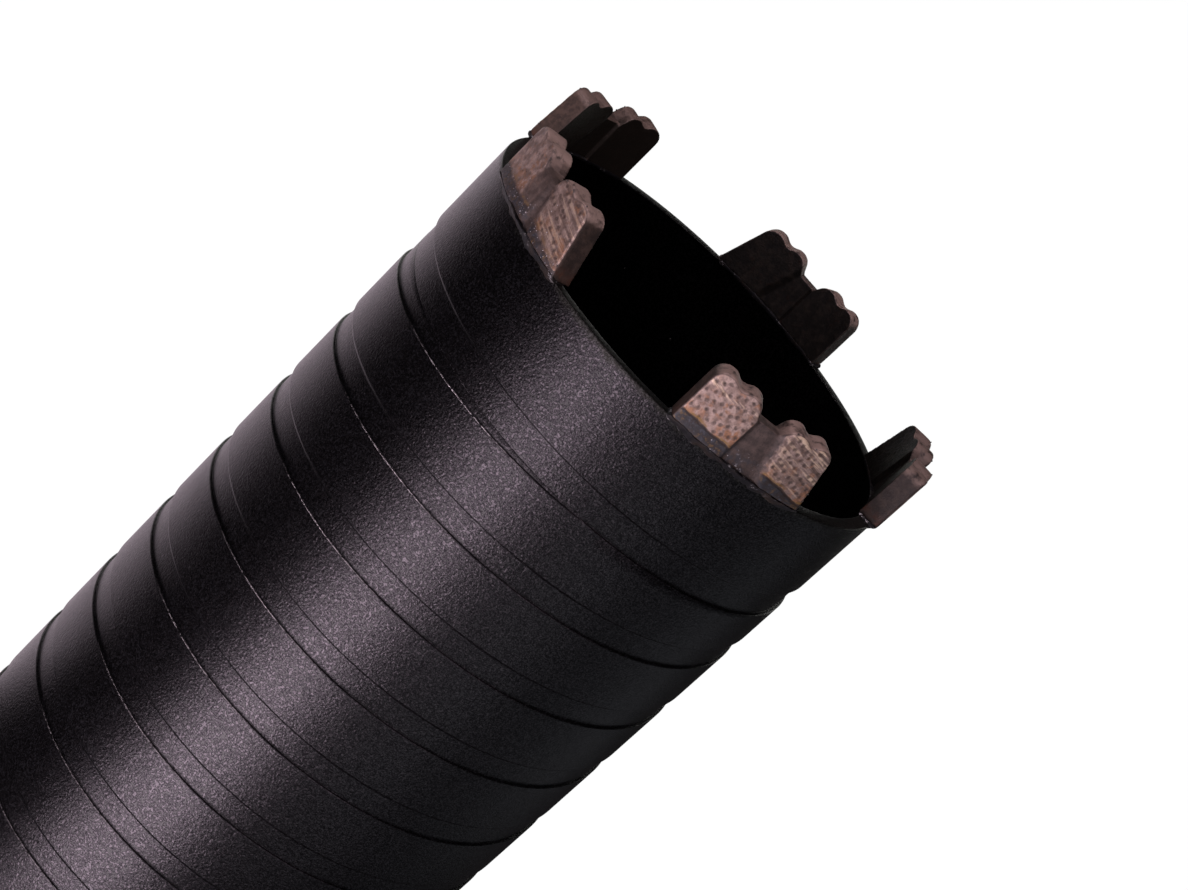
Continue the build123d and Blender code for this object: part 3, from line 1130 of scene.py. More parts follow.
@dataclass(frozen=True)
class SilverSolder:
    """Heat-stained silver solder, dark where coat, flux and scale are left on it."""

    crown: CrownGrid
    name: str = "silver_solder"
    bright: Colour = (0.42, 0.41, 0.41)
    stained: Colour = (0.0095, 0.0095, 0.0105)
    brown: Colour = (0.022, 0.017, 0.014)
    specular: float = 0.16

    def material(self) -> bpy.types.Material:
        """Makes the material."""
        material, g, shader, place = new_material(self.name)
        broad = g.noise(place, 1.6, 4.0, 0.6)
        fine = g.noise(place, 0.35, 3.0, 0.6)
        along, _, _, number = self.crown.sockets(g, place)
        rubbed = self.crown.on_segment(g, number, self.crown.smeared)
        bare = g.add(broad, g.ramp(g.absolute(along), 10.8, 11.6, 0.0, 0.12))
        bare = g.subtract(bare, g.multiply(rubbed, 0.035))
        clean = g.multiply(g.ramp(bare, 0.57, 0.68), g.ramp(fine, 0.50, 0.62))
        stains = g.clouds(place, 3.1, 2.0, 0.45, 0.7)
        dress(
            g,
            shader,
            Base_Color=g.layers(self.stained, (stains, self.brown), (clean, self.bright)),
            Metallic=g.choose(clean, 0.1, 0.95),
            Roughness=g.ramp(fine, 0.3, 0.7, 0.42, 0.6),
            Specular_IOR_Level=self.specular,
        )
        add_bump(g, shader, g.add(g.multiply(broad, 0.7), g.multiply(fine, 0.5)), 0.15, 0.8)
        return material


@dataclass(frozen=True)
class DiamondGrit:
    """Dull dark crystals that stand a little out of the matrix."""

    name: str = "diamond_grit"
    dark: Colour = (0.022, 0.016, 0.014)
    light: Colour = (0.055, 0.045, 0.036)

    def material(self) -> bpy.types.Material:
        """Makes the material."""
        material, g, shader, place = new_material(self.name)
        colour = g.blend(g.clouds(place, 0.7, 1.0, 0.4, 0.6), self.dark, self.light)
        dress(g, shader, Base_Color=colour, Roughness=0.3)
        add_bump(g, shader, g.noise(place, 0.12, 1.0), 0.02, 0.4)
        return material


# ---- the barrel ----


@dataclass
class Barrel:
    """Coated tube with a helical recess between two turned rings."""

    box: tuple[Vector, Vector]  # lowest and highest corner of the solid that it stands for
    wall: float = 2.0
    recess_depth: float = 0.42
    ring_depth: float = 0.48
    recess_width: float = 4.3
    pitch: float = 13.9
    slope: float = 0.5
    crisp_run: float = 0.13  # run of the recess's steep side
    lip_run: float = 0.09  # run of the small bevel before it
    lip_drop: float = 0.07
    ring_extra_width: float = 0.5
    rim_to_ring: float = 14.2
    back_to_ring: float = 12.0
    start_angle: float = -72.0  # where the recess leaves the upper ring, in degrees
    edge_round: float = 0.18
    edge_wander: float = 0.012  # how far the turned edges stray up and down
    true_ends: float = 1.5  # stretch at each end over which they stray less
    columns: int = 264

    def build(self) -> bpy.types.Object:
        """Makes the barrel."""
        low, high = (corner / MM for corner in self.box)
        radius = (high.x - low.x) / 2
        bore = radius - self.wall
        finish = PowderCoat(name="barrel_coat", rim_z=high.z, face_radius=radius).material()
        # painted shade: the bore gets a near-black coat that barely reflects, so the inside of the
        # tube looks unlit
        scale = PowderCoat(
            name="bore_scale",
            colour=(0.0005,) * 3,
            glitter=(0.0005,) * 3,
            roughness=0.8,
            specular=0.03,
        ).material()
        ring_width = self.recess_width + self.ring_extra_width
        high_ring = high.z - self.rim_to_ring - ring_width  # its lower edge
        low_ring = low.z + self.back_to_ring  # its lower edge
        wall = GroovedWall(
            radius=radius,
            groove_depth=self.recess_depth,
            groove_width=self.recess_width,
            low_run=self.crisp_run,
            high_run=self.slope,
            pitch=self.pitch,
            middle_z=high_ring + ring_width / 2 - self.pitch * self.start_angle / 360,
            low_z=low_ring + ring_width,
            high_z=high_ring,
            columns=self.columns,
            lip_run=self.lip_run,
            lip_share=self.lip_drop / self.recess_depth,
            flank_steps=4,
            land_steps=2,
        )
        rows = self._end_rows(wall, bore, low.z, high.z)
        tube = mesh_object("barrel_ends", *lathe(rows, self.columns))
        parts = [wall.build("recessed_wall", finish), tube]
        barrel = close_shell("coated_barrel", parts, finish)
        barrel.data.materials.append(scale)
        just_over_bore = (bore + 0.02) * MM
        for face in barrel.data.polygons:
            if face.center.xy.length < just_over_bore:
                face.material_index = 1
        self._wear_edges(barrel)
        return barrel

    def _end_rows(self, wall: GroovedWall, bore: float, back_z: float, rim_z: float) -> Rows:
        """Profile of all of the barrel but its recessed wall.

        Args:
            wall: The recessed wall.
            bore: Radius of the bore.
            back_z: Height of the hub-side end.
            rim_z: Height of the crown-side end.

        Returns:
            Rows from the wall's upper end over the rim and through the bore to its lower end.
        """
        radius, floor = wall.radius, wall.radius - self.ring_depth
        rounding, past_round = self.edge_round, 1.6 * self.edge_round
        high_ring, low_ring = wall.high_z, back_z + self.back_to_ring
        ring_width = self.recess_width + self.ring_extra_width
        slope_z = ring_width - self.slope  # start of a ring's crown-side slope over its lower edge
        return [
            *self._crisp_flank(wall.lip(high_ring), floor, high_ring),
            (floor, high_ring + slope_z - 0.1),
            *self._flank(floor, radius, high_ring + slope_z, self.slope),
            (radius, high_ring + ring_width + 0.1),
            (radius, rim_z - past_round),
            *self._rounded(radius, rim_z, -rounding, -rounding),
            *reversed(self._rounded(bore, rim_z, rounding, -rounding)),
            (bore, rim_z - past_round),
            (bore, back_z + past_round),
            *self._rounded(bore, back_z, rounding, rounding),
            *reversed(self._rounded(radius, back_z, -rounding, rounding)),
            (radius, back_z + past_round),
            (radius, low_ring - 0.1),
            *self._crisp_flank(radius, floor, low_ring),
            (floor, low_ring + slope_z - 0.1),
            *self._flank(floor, wall.lip(wall.low_z), low_ring + slope_z, self.slope),
        ]

    def _crisp_flank(self, start: Radius, floor: float, low: float) -> Rows:
        """Hub-side edge of a ring: a small bevel, then a steep side down to its floor."""
        ledge = np.maximum(start - self.lip_drop, floor)
        lip = [
            (start + (ledge - start) * share, low + self.lip_run * share)
            for share in (0.0, 0.15, 0.85)
        ]
        run = self.crisp_run - self.lip_run
        side = self._flank(ledge, floor, low + self.lip_run, run, 4)
        return [*lip, *side, (floor, low + self.crisp_run + 0.1)]

    @staticmethod
    def _flank(start: Radius, stop: Radius, low: float, run: float, steps: int = 8) -> Rows:
        """Side of a ring, eased from one radius to another.

        Args:
            start: Radius at its lower end.
            stop: Radius at its upper end.
            low: Height of its lower end.
            run: How far it reaches up.
            steps: Rows less one.

        Returns:
            Rows of the profile.
        """
        return [
            (start + (stop - start) * eased(share), low + run * share)
            for share in np.linspace(0, 1, steps + 1)
        ]

    @staticmethod
    def _rounded(radius: float, height: float, inwards: float, downwards: float) -> Rows:
        """Quarter round at an end of the tube, from its face to its end.

        Args:
            radius: Radius of the face.
            height: Height of the end.
            inwards: Radius of the round, negative towards the axis.
            downwards: Radius of the round, negative away from the end.

        Returns:
            Rows of the profile.
        """
        turns = [radians(a) for a in (0, 30, 60, 90)]
        return [(radius + inwards * (1 - cos(t)), height + downwards * (1 - sin(t))) for t in turns]

    def _wear_edges(self, barrel: bpy.types.Object) -> None:
        """Shifts the wall a little up and down, so that no turned edge is perfectly even."""
        points = read_points(barrel.data)
        low, high = points[:, 2].min(), points[:, 2].max()
        angle = np.arctan2(points[:, 1], points[:, 0])
        height = points[:, 2] / MM
        to_end = np.minimum(points[:, 2] - low, high - points[:, 2])
        free = np.clip(to_end / (self.true_ends * MM), 0, 1)
        waves = (
            np.sin(7 * angle + 0.31 * height)
            + 0.7 * np.sin(19 * angle - 0.83 * height + 1.1)
            + 0.5 * np.sin(43 * angle + 1.9 * height + 0.4)
        )
        points[:, 2] += free * waves * self.edge_wander * MM
        move_points(barrel.data, points)


# ---- the crown ----


@dataclass
class Crown:
    """Five sintered segments with their diamonds and the solder that holds them."""

    nodes: dict[str, bpy.types.Object]
    barrel_radius: float = 37.1
    barrel_bore: float = 35.1
    rim_z: float = 170.0
    segment_length: float = 23.1
    thickness: float = 3.4
    voxel: float = 0.13
    coarse_relief: float = 0.05
    fine_relief: float = 0.03
    pit_depth: float = 0.03
    crystal_radius: float = 0.165
    sunk_share: float = 0.82  # share of that radius by which the crystals lie below the skin
    waist_depth: float = 0.5
    presence: float = 0.92  # share of the diamonds that are still there
    rubbed_presence: Pair = (0.3, 0.55)  # the same on the rubbed segment's two teeth
    grit_margin: float = 0.3  # distance of the diamonds from the strip and from the faces' edges
    grit_seed: int = 700
    solder_seed: int = 41
    solder_stations: int = 150
    grid: CrownGrid = CrownGrid()
    trailing_grit: GritLattice = GritLattice((-11.0, 6.2), (0.92, 0.43), (0.0, 1.53), -11.3, -3.3)
    leading_grit: GritLattice = GritLattice((6.2, 7.5), (1.03, -0.40), (0.3, -1.42), 0.9, 11.4)

    def build(self) -> list[tuple[bpy.types.Object, str | None, Slot]]:
        """Makes the pieces.

        Returns:
            Each piece with the node that it stands for, if any, and its slot.
        """
        matrix = SinteredMatrix(self.grid).material()
        solder = SilverSolder(self.grid).material()
        diamond = DiamondGrit().material()
        skin, crystals = self._skin_tree(), self._crystal_tree()
        made = []
        for number in range(1, self.grid.count + 1):
            grit = self._grit_places(number)
            segment = self._segment(number, skin, grit, matrix)
            crystals.add_to(grit, diamond, Seed=number)
            made.append((segment, f"segment_{number}", Slot.MATRIX))
            made.append((bake_modifiers(grit), None, Slot.MATRIX))
            made.append((self._solder(number, solder), f"solder_{number}", Slot.SOLDER))
        return made

    def _grit_places(self, number: int) -> bpy.types.Object:
        """Sets a point for each diamond that shows on the outer face of one segment."""
        rng = np.random.default_rng(self.grit_seed + number)
        rubbed = number == self.grid.smeared
        shares = self.rubbed_presence if rubbed else (self.presence, self.presence)
        trailing = self.trailing_grit.places(rng, shares[0])
        leading = self.leading_grit.places(rng, shares[1])
        along, height = np.concatenate([trailing, leading]).T
        solid = bmesh.new()
        solid.from_mesh(self.nodes[f"segment_{number}"].data)
        surface = BVHTree.FromBMesh(solid)
        solid.free()
        places = []
        grid, margin = self.grid, self.grit_margin
        strips = np.interp(along, grid.strip_fall, (grid.foot_strip, grid.low_strip))
        for s, h, strip in zip(along, height, strips):
            angle = grid.middle(number) + s / grid.crown_radius
            out = Vector((cos(angle), sin(angle), 0))
            start = out * (grid.crown_radius + 2) * MM + Vector((0, 0, (grid.foot_z + h) * MM))
            hit, normal, _, _ = surface.ray_cast(start, -out)
            if hit is None or h < strip + margin or abs(normal.dot(out)) < 0.9:
                continue
            if hit.xy.length > (grid.crown_radius - margin) * MM:
                places.append(hit / MM)
        return mesh_object(f"grit_{number}", np.array(places), [])

    def _segment(
        self, number: int, skin: MeshTree, grit: bpy.types.Object, material: bpy.types.Material
    ) -> bpy.types.Object:
        """Makes one segment: its solid with worn edges, a skin and a pit round each diamond."""
        obj = copy_node(f"sintered_segment_{number}", self.nodes[f"segment_{number}"])
        remesh = obj.modifiers.new("skin", "REMESH")
        remesh.mode = "VOXEL"
        remesh.voxel_size = self.voxel * MM
        smooth = obj.modifiers.new("worn_edges", "SMOOTH")
        smooth.iterations = 3
        smooth.factor = 0.5
        rubbed = number == self.grid.smeared
        smeared = {"Softening": 30, "Waist_fill": 0.8} if rubbed else {}
        skin.add_to(obj, material, Grit=grit, **smeared)
        return bake_modifiers(obj)

    def _skin_tree(self) -> MeshTree:
        """Makes the tree that moves a segment's skin in and out and notes how near a diamond is."""
        values = {
            "Coarse relief": self.coarse_relief * MM,
            "Fine relief": self.fine_relief * MM,
            "Pit depth": self.pit_depth * MM,
            "Pit radius": 1.8 * self.crystal_radius * MM,
            "Softening": 14,
            "Waist fill": 0.0,
            "Grit": None,
        }
        tree = MeshTree("sintered_skin", values)
        g, given = tree.graph, tree.inputs
        position = g.result("GeometryNodeInputPosition")
        normal = g.result("GeometryNodeInputNormal")
        place = g.scaled(position, 1.0 / MM)
        x, y, _ = g.separate(place)
        along, _, radius, _ = self.grid.sockets(g, place)
        softened = self._softened(tree, position, g.outwards(x, y), along, radius)
        grit = g.node("GeometryNodeObjectInfo", Object=given["Grit"]).outputs["Geometry"]
        settings = {"target_element": "POINTS"}
        near = g.node("GeometryNodeProximity", settings, Geometry=grit).outputs["Distance"]
        sunk = g.vectors("SUBTRACT", position, self._blurred(g, position, "FLOAT_VECTOR", 8))
        notes = {
            GRIT_DISTANCE: g.multiply(near, 1.0 / MM),
            FACE_RADIUS: radius,
            EDGE_BULGE: g.multiply(g.dot(sunk.outputs[0], normal), 1.0 / MM),
        }
        noted = softened
        for name, value in notes.items():
            noted = g.result(
                "GeometryNodeStoreNamedAttribute",
                {"data_type": "FLOAT", "domain": "POINT"},
                Geometry=noted,
                Name=name,
                Value=value,
            )
        coarse = g.subtract(g.noise(place, 1.6, 2.0), 0.55)
        fine = g.centred(g.noise(place, 0.5, 1.0))
        move = g.add(
            g.multiply(coarse, given["Coarse relief"]), g.multiply(fine, given["Fine relief"])
        )
        pit = g.ramp(near, given["Pit radius"], g.multiply(given["Pit radius"], 0.5))
        move = g.scaled(normal, g.subtract(move, g.multiply(pit, given["Pit depth"])))
        tree.finish(g.result("GeometryNodeSetPosition", Geometry=noted, Offset=move))
        return tree

    def _softened(
        self, tree: MeshTree, position: Socket, out: Socket, along: Socket, radius: Socket
    ) -> Socket:
        """Fills part of the waist and rounds the step beside it.

        Args:
            tree: Tree of the skin.
            position: Place on the skin in metres.
            out: Direction away from the axis.
            along: Distance along the segment.
            radius: Distance from the axis in millimetres.

        Returns:
            The new geometry.
        """
        g, given = tree.graph, tree.inputs
        top, low = self.grid.crown_radius, self.grid.crown_radius - self.waist_depth
        outside = g.ramp(radius, low - 0.12, low - 0.06)
        fill = g.multiply(given["Waist fill"], outside, g.ramp(along, 1.6, 0.2))
        rise = g.scaled(out, g.multiply(g.subtract(top, radius), fill, MM))
        filled = g.result("GeometryNodeSetPosition", Geometry=given["Geometry"], Offset=rise)
        on_step = g.multiply(
            g.ramp(radius, low + 0.02, low + 0.05), g.ramp(radius, top - 0.02, top - 0.05)
        )
        near_step = self._blurred(g, on_step, "FLOAT", given["Softening"])
        share = g.minimum(g.multiply(near_step, 3.0), 1.0)
        soft = self._blurred(g, position, "FLOAT_VECTOR", given["Softening"])
        change = g.scaled(g.vectors("SUBTRACT", soft, position).outputs[0], share)
        return g.result("GeometryNodeSetPosition", Geometry=filled, Offset=change)

    @staticmethod
    def _blurred(graph: Graph, value: Socket, kind: str, iterations: int | Socket) -> Socket:
        """A value averaged with its neighbours on the mesh."""
        return graph.result(
            "GeometryNodeBlurAttribute", {"data_type": kind}, Value=value, Iterations=iterations
        )

    def _crystal_tree(self) -> MeshTree:
        """Makes the tree that sets a crystal on each point."""
        tree = MeshTree("crystals", {"Crystal radius": self.crystal_radius * MM, "Seed": 1})
        g, given = tree.graph, tree.inputs
        radius = given["Crystal radius"]
        ball = g.result("GeometryNodeMeshIcoSphere", Radius=radius, Subdivisions=1)
        turn, size = (
            g.result(
                "FunctionNodeRandomValue",
                {"data_type": "FLOAT_VECTOR"},
                Min=(least,) * 3,
                Max=(most,) * 3,
                Seed=given["Seed"],
            )
            for least, most in ((0.0, 6.28), (0.6, 1.1))
        )
        set_out = g.result(
            "GeometryNodeInstanceOnPoints",
            Points=given["Geometry"],
            Instance=ball,
            Rotation=turn,
            Scale=size,
        )
        x, y, _ = g.separate(g.result("GeometryNodeInputPosition"))
        sunk = g.result(
            "GeometryNodeTranslateInstances",
            Instances=set_out,
            Translation=g.scaled(g.outwards(x, y), g.multiply(radius, -self.sunk_share)),
            Local_Space=False,
        )
        tree.finish(sunk, smooth=False)
        return tree

    def _solder(self, number: int, material: bpy.types.Material) -> bpy.types.Object:
        """Makes the uneven solder under one segment, as a closed strip round the segment's foot."""
        outer, stations = self.grid.crown_radius, self.solder_stations
        half_arc = asin(self.segment_length / 2 / outer) + 0.5 / outer
        share = np.linspace(-1, 1, stations)
        angles = self.grid.middle(number) + half_arc * share
        taper = np.sqrt(np.clip((1 - np.abs(share)) * half_arc * outer / 0.55, 0.02, 1))
        core = np.array([(outer + outer - self.thickness) / 2, self.rim_z - 0.1])
        section = self._solder_section(np.random.default_rng(self.solder_seed + number))
        points = []
        for radius, height in section:
            radius = core[0] + (radius - core[0]) * (0.75 + 0.25 * taper)
            height = core[1] + (np.asarray(height) - core[1]) * taper
            points.append(np.stack([radius * np.cos(angles), radius * np.sin(angles), height], 1))
        rings = np.stack(points, 1)
        caps = [rings[0].mean(0), rings[-1].mean(0)]
        vertices = np.concatenate([rings.reshape(-1, 3), caps])
        strip = mesh_object("strip", vertices, self._strip_faces(stations, len(section)))
        bead = close_shell(f"solder_bead_{number}", [strip], material)
        subdivide = bead.modifiers.new("flow", "SUBSURF")
        subdivide.levels = subdivide.render_levels = 1
        return bake_modifiers(bead)

    def _solder_section(self, rng: np.random.Generator) -> Rows:
        """Outline of the solder round a segment's foot. Its points wave along the segment."""
        drop = 0.62 + 0.26 * self._wave(rng, 3) + 0.1 * self._wave(rng, 9)
        lap = 0.10 + 0.20 * self._wave(rng, 3) + 0.1 * self._wave(rng, 11)
        swell = 0.01 + 0.05 * self._wave(rng, 7)
        outer, foot, rim = self.grid.crown_radius, self.grid.foot_z, self.rim_z
        inner = outer - self.thickness
        return [
            (self.barrel_radius - 0.05, rim - drop - 0.1),
            (self.barrel_radius + 0.06 + 0.5 * swell, rim - drop),
            (self.barrel_radius + 0.35 + swell, rim - 0.45 * drop),
            (outer - 0.28 + swell, rim - 0.02 * drop),
            (outer + 0.01 + 0.3 * swell, foot + 0.4 * lap),
            (outer - 0.02, foot + lap),
            (outer - 0.3, foot + lap),
            (inner + 0.3, foot + 0.8 * lap),
            (inner + 0.02, foot + 0.8 * lap),
            (inner - 0.01 - 0.3 * swell, foot + 0.3 * lap),
            (inner + 0.15 - swell, rim - 0.1),
            (self.barrel_bore - 0.06, rim - 0.45 * drop),
            (self.barrel_bore + 0.05, rim - 0.55 * drop),
        ]

    def _wave(self, rng: np.random.Generator, knots: int) -> np.ndarray:
        """Random wave between -1 and 1 along the solder, with a number of knots for each 5 mm."""
        knot_count = knots * 5
        values = rng.uniform(-1, 1, knot_count + 1)
        where = np.linspace(0, knot_count, self.solder_stations)
        base = np.floor(where).astype(int).clip(0, knot_count - 1)
        part = eased(where - base)
        return values[base] * (1 - part) + values[base + 1] * part

    @staticmethod
    def _strip_faces(stations: int, count: int) -> list[list[int]]:
        """Faces of a closed strip: its sides, then a fan at each end.

        Args:
            stations: Sections along the strip.
            count: Points of a section.

        Returns:
            The faces. The middles of the strip's two ends come after the sections' points.
        """
        faces = []
        for station in range(stations - 1):
            base = station * count
            for k in range(count):
                ahead = (k + 1) % count
                faces.append([base + k, base + count + k, base + count + ahead, base + ahead])
        first_cap = stations * count
        last = first_cap - count
        faces += [[first_cap, k, (k + 1) % count] for k in range(count)]
        faces += [[first_cap + 1, last + (k + 1) % count, last + k] for k in range(count)]
        return faces


# ---- the back end ----


@dataclass
class BackEnd:
    """Hub with its thread and spanner flats, the back plate and the two weld runs."""

    nodes: dict[str, bpy.types.Object]
    hub_radius: float = 18.0
    spigot_radius: float = 13.5
    plate_back_z: float = 21.2
    hub_top_z: float = 28.2
    flat_distance: float = 16.0
    flat_height: float = 12.0
    chamfer: float = 0.8
    crest_radius: float = 9.315
    thread_depth: float = 1.162
    thread_pitch: float = 1.814
    flank_angle: float = 27.5  # half the angle of the thread's form
    thread_start: float = 0.4
    mouth_radius: float = 10.7
    barrel_bore: float = 35.1
    sharp_angle: float = 24.0  # angle between faces from which an edge of the hub looks sharp
    coat_roughness: float = 0.42
    columns: int = 144
    weld_steps: int = 8  # points of a weld's face

    def build(self) -> list[tuple[bpy.types.Object, str]]:
        """Makes the pieces.

        Returns:
            Each piece with the node that it stands for.
        """
        coat = PowderCoat(name="hub_coat", roughness=self.coat_roughness).material()
        hub = self._hub(coat)
        plate = copy_node("closing_plate", self.nodes["back_plate"])
        plate.data.materials.append(coat)
        welds = [
            (self._weld("hub_weld_bead", self.hub_radius, 1.0, 2.5, 46, coat), "hub_weld"),
            (self._weld("plate_weld_bead", self.barrel_bore, -1.0, 1.8, 84, coat), "plate_weld"),
        ]
        return [(hub, "hub"), (plate, "back_plate"), *welds]

    def _hub(self, material: bpy.types.Material) -> bpy.types.Object:
        """Makes the hub with a rounded Whitworth-form thread and a countersunk mouth."""
        flank = self.thread_depth * tan(radians(self.flank_angle))
        wall = GroovedWall(
            radius=self.crest_radius,
            groove_depth=-self.thread_depth,
            groove_width=self.thread_pitch / 2 + flank,
            low_run=flank,
            high_run=flank,
            pitch=self.thread_pitch,
            middle_z=self.thread_start,
            low_z=0.0,
            high_z=self.hub_top_z,
            columns=self.columns,
            flank_steps=4,
            land_steps=1,
        )
        r, c, top = self.hub_radius, self.chamfer, self.hub_top_z
        rows = [
            (wall.lip(0.0), 0.0),
            (r - c, 0.0),
            (r - c + 0.08, 0.06),
            (r - 0.06, c - 0.08),
            (r, c),
            (r, self.flat_height),
            (r, self.flat_height + 0.001),
            (r, self.plate_back_z),
            (self.spigot_radius, self.plate_back_z),
            (self.spigot_radius, top - 0.2),
            (self.spigot_radius - 0.2, top),
            (wall.lip(top), top),
        ]
        points, faces = lathe(rows, self.columns)
        heights = points[:, 2]
        flats = heights <= self.flat_height + 0.0005
        points[flats, 1] = np.clip(points[flats, 1], -self.flat_distance, self.flat_distance)
        parts = [wall.build("thread_wall", material), mesh_object("hub_faces", points, faces)]
        hub = close_shell("threaded_hub", parts, material)
        self._countersink(hub.data)
        hub.data.set_sharp_from_angle(angle=radians(self.sharp_angle))
        return hub

    def _countersink(self, mesh: bpy.types.Mesh) -> None:
        """Widens the thread's mouth to a cone of 45 degrees."""
        points = read_points(mesh)
        radius = np.hypot(points[:, 0], points[:, 1])
        cone = self.mouth_radius * MM - points[:, 2]
        widen = (radius < cone) & (radius < (self.mouth_radius + 0.1) * MM)
        points[widen, :2] *= (cone[widen] / radius[widen])[:, None]
        move_points(mesh, points)

    def _weld(
        self,
        name: str,
        radius: float,
        side: float,
        leg: float,
        ripples: int,
        material: bpy.types.Material,
    ) -> bpy.types.Object:
        """Makes a rippled weld run in the corner between a round wall and the plate's back face.

        Args:
            name: Name of the piece.
            radius: Radius of the wall.
            side: 1 if the run lies outside the wall, -1 if inside.
            leg: Leg of the run.
            ripples: Ripples in one turn.
            material: Material of the run.

        Returns:
            The weld run.
        """
        values = {
            "Ripple height": 0.05 * leg * MM,
            "Side": side,
            "Ripples": ripples,
            "Columns": 8 * ripples,
        }
        tree = MeshTree(name, values)
        g, given = tree.graph, tree.inputs
        count = tree.point_count()
        length, width = g.add(given["Columns"], 1), g.add(count, 1)
        grid = g.result("GeometryNodeMeshGrid", Vertices_X=length, Vertices_Y=width)
        index = g.result("GeometryNodeInputIndex")
        column = g.math("FLOOR", g.divide(index, width))
        row = g.math("MODULO", g.math("MODULO", index, width), count)
        reach, weight, level = g.separate(tree.point_at(row))
        part_turn = g.divide(g.math("MODULO", column, given["Columns"]), given["Columns"])
        phase = g.add(g.multiply(part_turn, given["Ripples"]), g.multiply(weight, 0.45 / MM))
        crest = g.math("POWER", g.absolute(g.math("SINE", g.multiply(phase, pi))), 0.6)
        lift = g.multiply(crest, weight, 1.0 / MM, given["Ripple height"])
        spread = g.add(reach, g.multiply(lift, given["Side"]))
        tree.finish_wound(grid, g.polar(spread, part_turn, g.subtract(level, lift)))
        obj = mesh_object(f"{name}_profile", self._weld_profile(radius, side, leg), [])
        tree.add_to(obj, material)
        bake_modifiers(obj)
        return close_shell(name, [obj], material)

    def _weld_profile(self, radius: float, side: float, leg: float) -> np.ndarray:
        """Profile of a weld run: its bulging face, then two points hidden in the parts.

        Args:
            radius: Radius of the wall.
            side: 1 if the run lies outside the wall, -1 if inside.
            leg: Leg of the run.

        Returns:
            (radius, share of the ripples, height) of each point.
        """
        plate = self.plate_back_z
        shares = np.linspace(0, 1, self.weld_steps)
        bulge = np.sin(pi * shares)
        height = leg if side > 0 else 0.5 * leg
        across = radius + side * leg * shares
        down = plate - height * (1 - shares)
        down = down - 0.16 * leg * bulge * (side > 0) - 0.1 * leg * bulge * (side < 0)
        across = across + side * 0.1 * leg * bulge
        hidden = [(radius + side * 0.6 * leg, plate + 0.1), (radius - side * 0.1, plate + 0.1)]
        profile = [*zip(across, down), *hidden]
        weights = [*bulge, 0.0, 0.0]
        return np.array([(x, weight, z) for (x, z), weight in zip(profile, weights)])


# ---- the studio ----

PINKISH: Colour = (1.0, 0.83, 0.94)
COOL_PALE: Colour = (0.95, 0.93, 1.0)
COOL: Colour = (0.88, 0.92, 1.0)
CREAM: Colour = (1.0, 1.0, 0.95)


@dataclass(frozen=True)
class SoftLamp:
    """Soft rectangular lamp. Its place and target are (azimuth, distance from the axis, height)."""

    name: str
    place: Triple
    target: Triple
    size: Pair  # width and height
    watts: float
    colour: Colour = PINKISH

    def build(self) -> None:
        """Makes the lamp."""
        data = bpy.data.lights.new(self.name, "AREA")
        data.shape = "RECTANGLE"
        data.size, data.size_y = (s * MM for s in self.size)
        data.energy = self.watts
        data.color = self.colour
        lamp = bpy.data.objects.new(self.name, data)
        bpy.context.scene.collection.objects.link(lamp)
        place, target = (
            Vector((distance * cos(radians(azimuth)), distance * sin(radians(azimuth)), height))
            for azimuth, distance, height in (self.place, self.target)
        )
        lamp.location = place * MM
        lamp.rotation_euler = (target - place).to_track_quat("-Z", "Y").to_euler()
        lamp.visible_camera = False


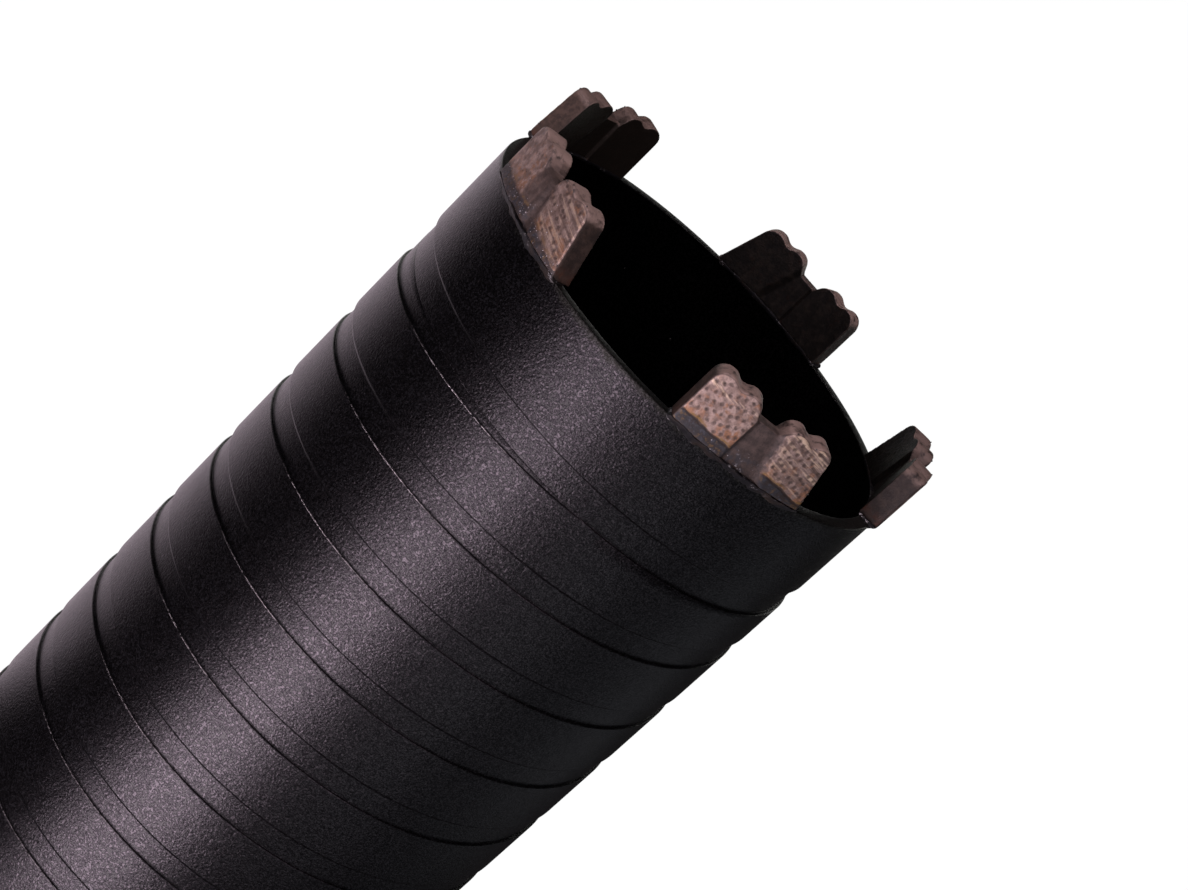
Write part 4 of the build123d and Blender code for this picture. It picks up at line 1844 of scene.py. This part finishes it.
@dataclass
class Studio:
    """Pale floor, soft lamps and the camera."""

    camera_place: Triple = (-16.35, -328.79, 266.18)
    camera_aim: Triple = (1.88, 0.0, 146.42)
    camera_roll: float = 46.3
    focal_length: float = 72.99
    sensor: float = 36.0
    clip: Pair = (20.0, 60000.0)  # nearest and farthest distance that the camera sees
    floor_size: float = 12000.0
    floor_tone: float = 0.04
    floor_glow: float = 1.0
    world_diffuse: float = 0.10  # strength of the world's light on matt surfaces
    world_glossy: float = 0.02  # its strength in reflections
    lamps: tuple[SoftLamp, ...] = (
        SoftLamp("front_near", (-106.5, 140, 30), (-106.5, 63, 153), (74, 117), 0.265),
        SoftLamp("front_far", (-106.5, 260, 105), (-106.5, 181, 232), (140, 166), 0.45),
        SoftLamp("key", (-92, 850, 660), (0, 0, 150), (1500, 1100), 5.5),
        SoftLamp("left_high", (-158, 640, 900), (0, 0, 150), (200, 200), 2.2),
        SoftLamp("left_back", (128, 210, 75), (128, 131, 202), (190, 282), 0.14),
        SoftLamp("right_near", (-62, 200, 40), (-62, 63, 150), (150, 200), 0.053, COOL_PALE),
        SoftLamp("right_low", (-16, 200, 40), (-16, 63, 150), (400, 200), 0.054, COOL),
        SoftLamp("backdrop", (90, 520, 130), (0, 0, 160), (900, 200), 0.6, CREAM),
        SoftLamp("top", (-60, 300, 1000), (0, 0, 150), (600, 600), 1.5),
    )

    def build(self) -> None:
        """Makes the whole studio."""
        bpy.context.scene.view_settings.view_transform = "Standard"
        self._floor()
        self._world()
        for lamp in self.lamps:
            lamp.build()
        self._camera()

    def _camera(self) -> None:
        """Makes the camera."""
        data = bpy.data.cameras.new("camera")
        data.lens, data.sensor_width = self.focal_length, self.sensor
        data.clip_start, data.clip_end = (distance * MM for distance in self.clip)
        camera = bpy.data.objects.new("camera", data)
        bpy.context.scene.collection.objects.link(camera)
        place, aim = (Vector(p) * MM for p in (self.camera_place, self.camera_aim))
        level = (aim - place).to_track_quat("-Z", "Y").to_matrix()
        turned = level @ Matrix.Rotation(radians(self.camera_roll), 3, "Z")
        camera.matrix_world = Matrix.Translation(place) @ turned.to_4x4()
        bpy.context.scene.camera = camera

    def _world(self) -> None:
        """Makes a world that the camera sees as white, and that lights the bit only a little."""
        world = bpy.data.worlds.new("studio")
        world.use_nodes = True
        graph = Graph(world.node_tree)
        path = graph.node("ShaderNodeLightPath").outputs
        seen = graph.maximum(path["Is Camera Ray"], path["Is Transmission Ray"])
        soft = graph.choose(path["Is Glossy Ray"], self.world_diffuse, self.world_glossy)
        strength = graph.maximum(seen, soft)
        background = graph.result("ShaderNodeBackground", Color=(1, 1, 1, 1), Strength=strength)
        graph.feed(graph.node("ShaderNodeOutputWorld").inputs[0], background)
        bpy.context.scene.world = world

    def _floor(self) -> None:
        """Makes the floor, which looks white but keeps the bit's shadow."""
        half = self.floor_size / 2
        corners = [(-half, -half, 0), (half, -half, 0), (half, half, 0), (-half, half, 0)]
        floor = mesh_object("floor", np.array(corners, float), np.array([[0, 1, 2, 3]]))
        material, graph, shader, _ = new_material("pale_floor")
        path = graph.node("ShaderNodeLightPath").outputs
        dress(
            graph,
            shader,
            Base_Color=(self.floor_tone,) * 3 + (1,),
            Roughness=1.0,
            Specular_IOR_Level=0.0,
            Emission_Color=(1, 1, 1, 1),
            Emission_Strength=graph.multiply(path["Is Camera Ray"], self.floor_glow),
        )
        floor.data.materials.append(material)


# ---- the bit ----


def fit(piece: bpy.types.Object, node: str | None) -> None:
    """Lets a piece ride on the bit, and stand for a node if one is named."""
    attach(piece, "root")
    if node:
        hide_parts(node)
    LOG.info("%s fitted, %d faces", piece.name, len(piece.data.polygons))


def corners(box: tuple[Vector, Vector]) -> list[list[float]]:
    """A box as plain lists."""
    return [list(map(float, corner)) for corner in box]


def main() -> None:
    """Builds the bit and its studio."""
    logging.basicConfig(level=logging.INFO, format="%(name)s: %(message)s")
    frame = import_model()
    nodes = frame["nodes"]

    fit(Barrel(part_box("barrel")).build(), "barrel")
    for piece, node, slot in Crown(nodes).build():
        fit(piece, node)
    for piece, node in BackEnd(nodes).build():
        fit(piece, node)
    Studio().build()


if __name__ == "__main__":
    main()
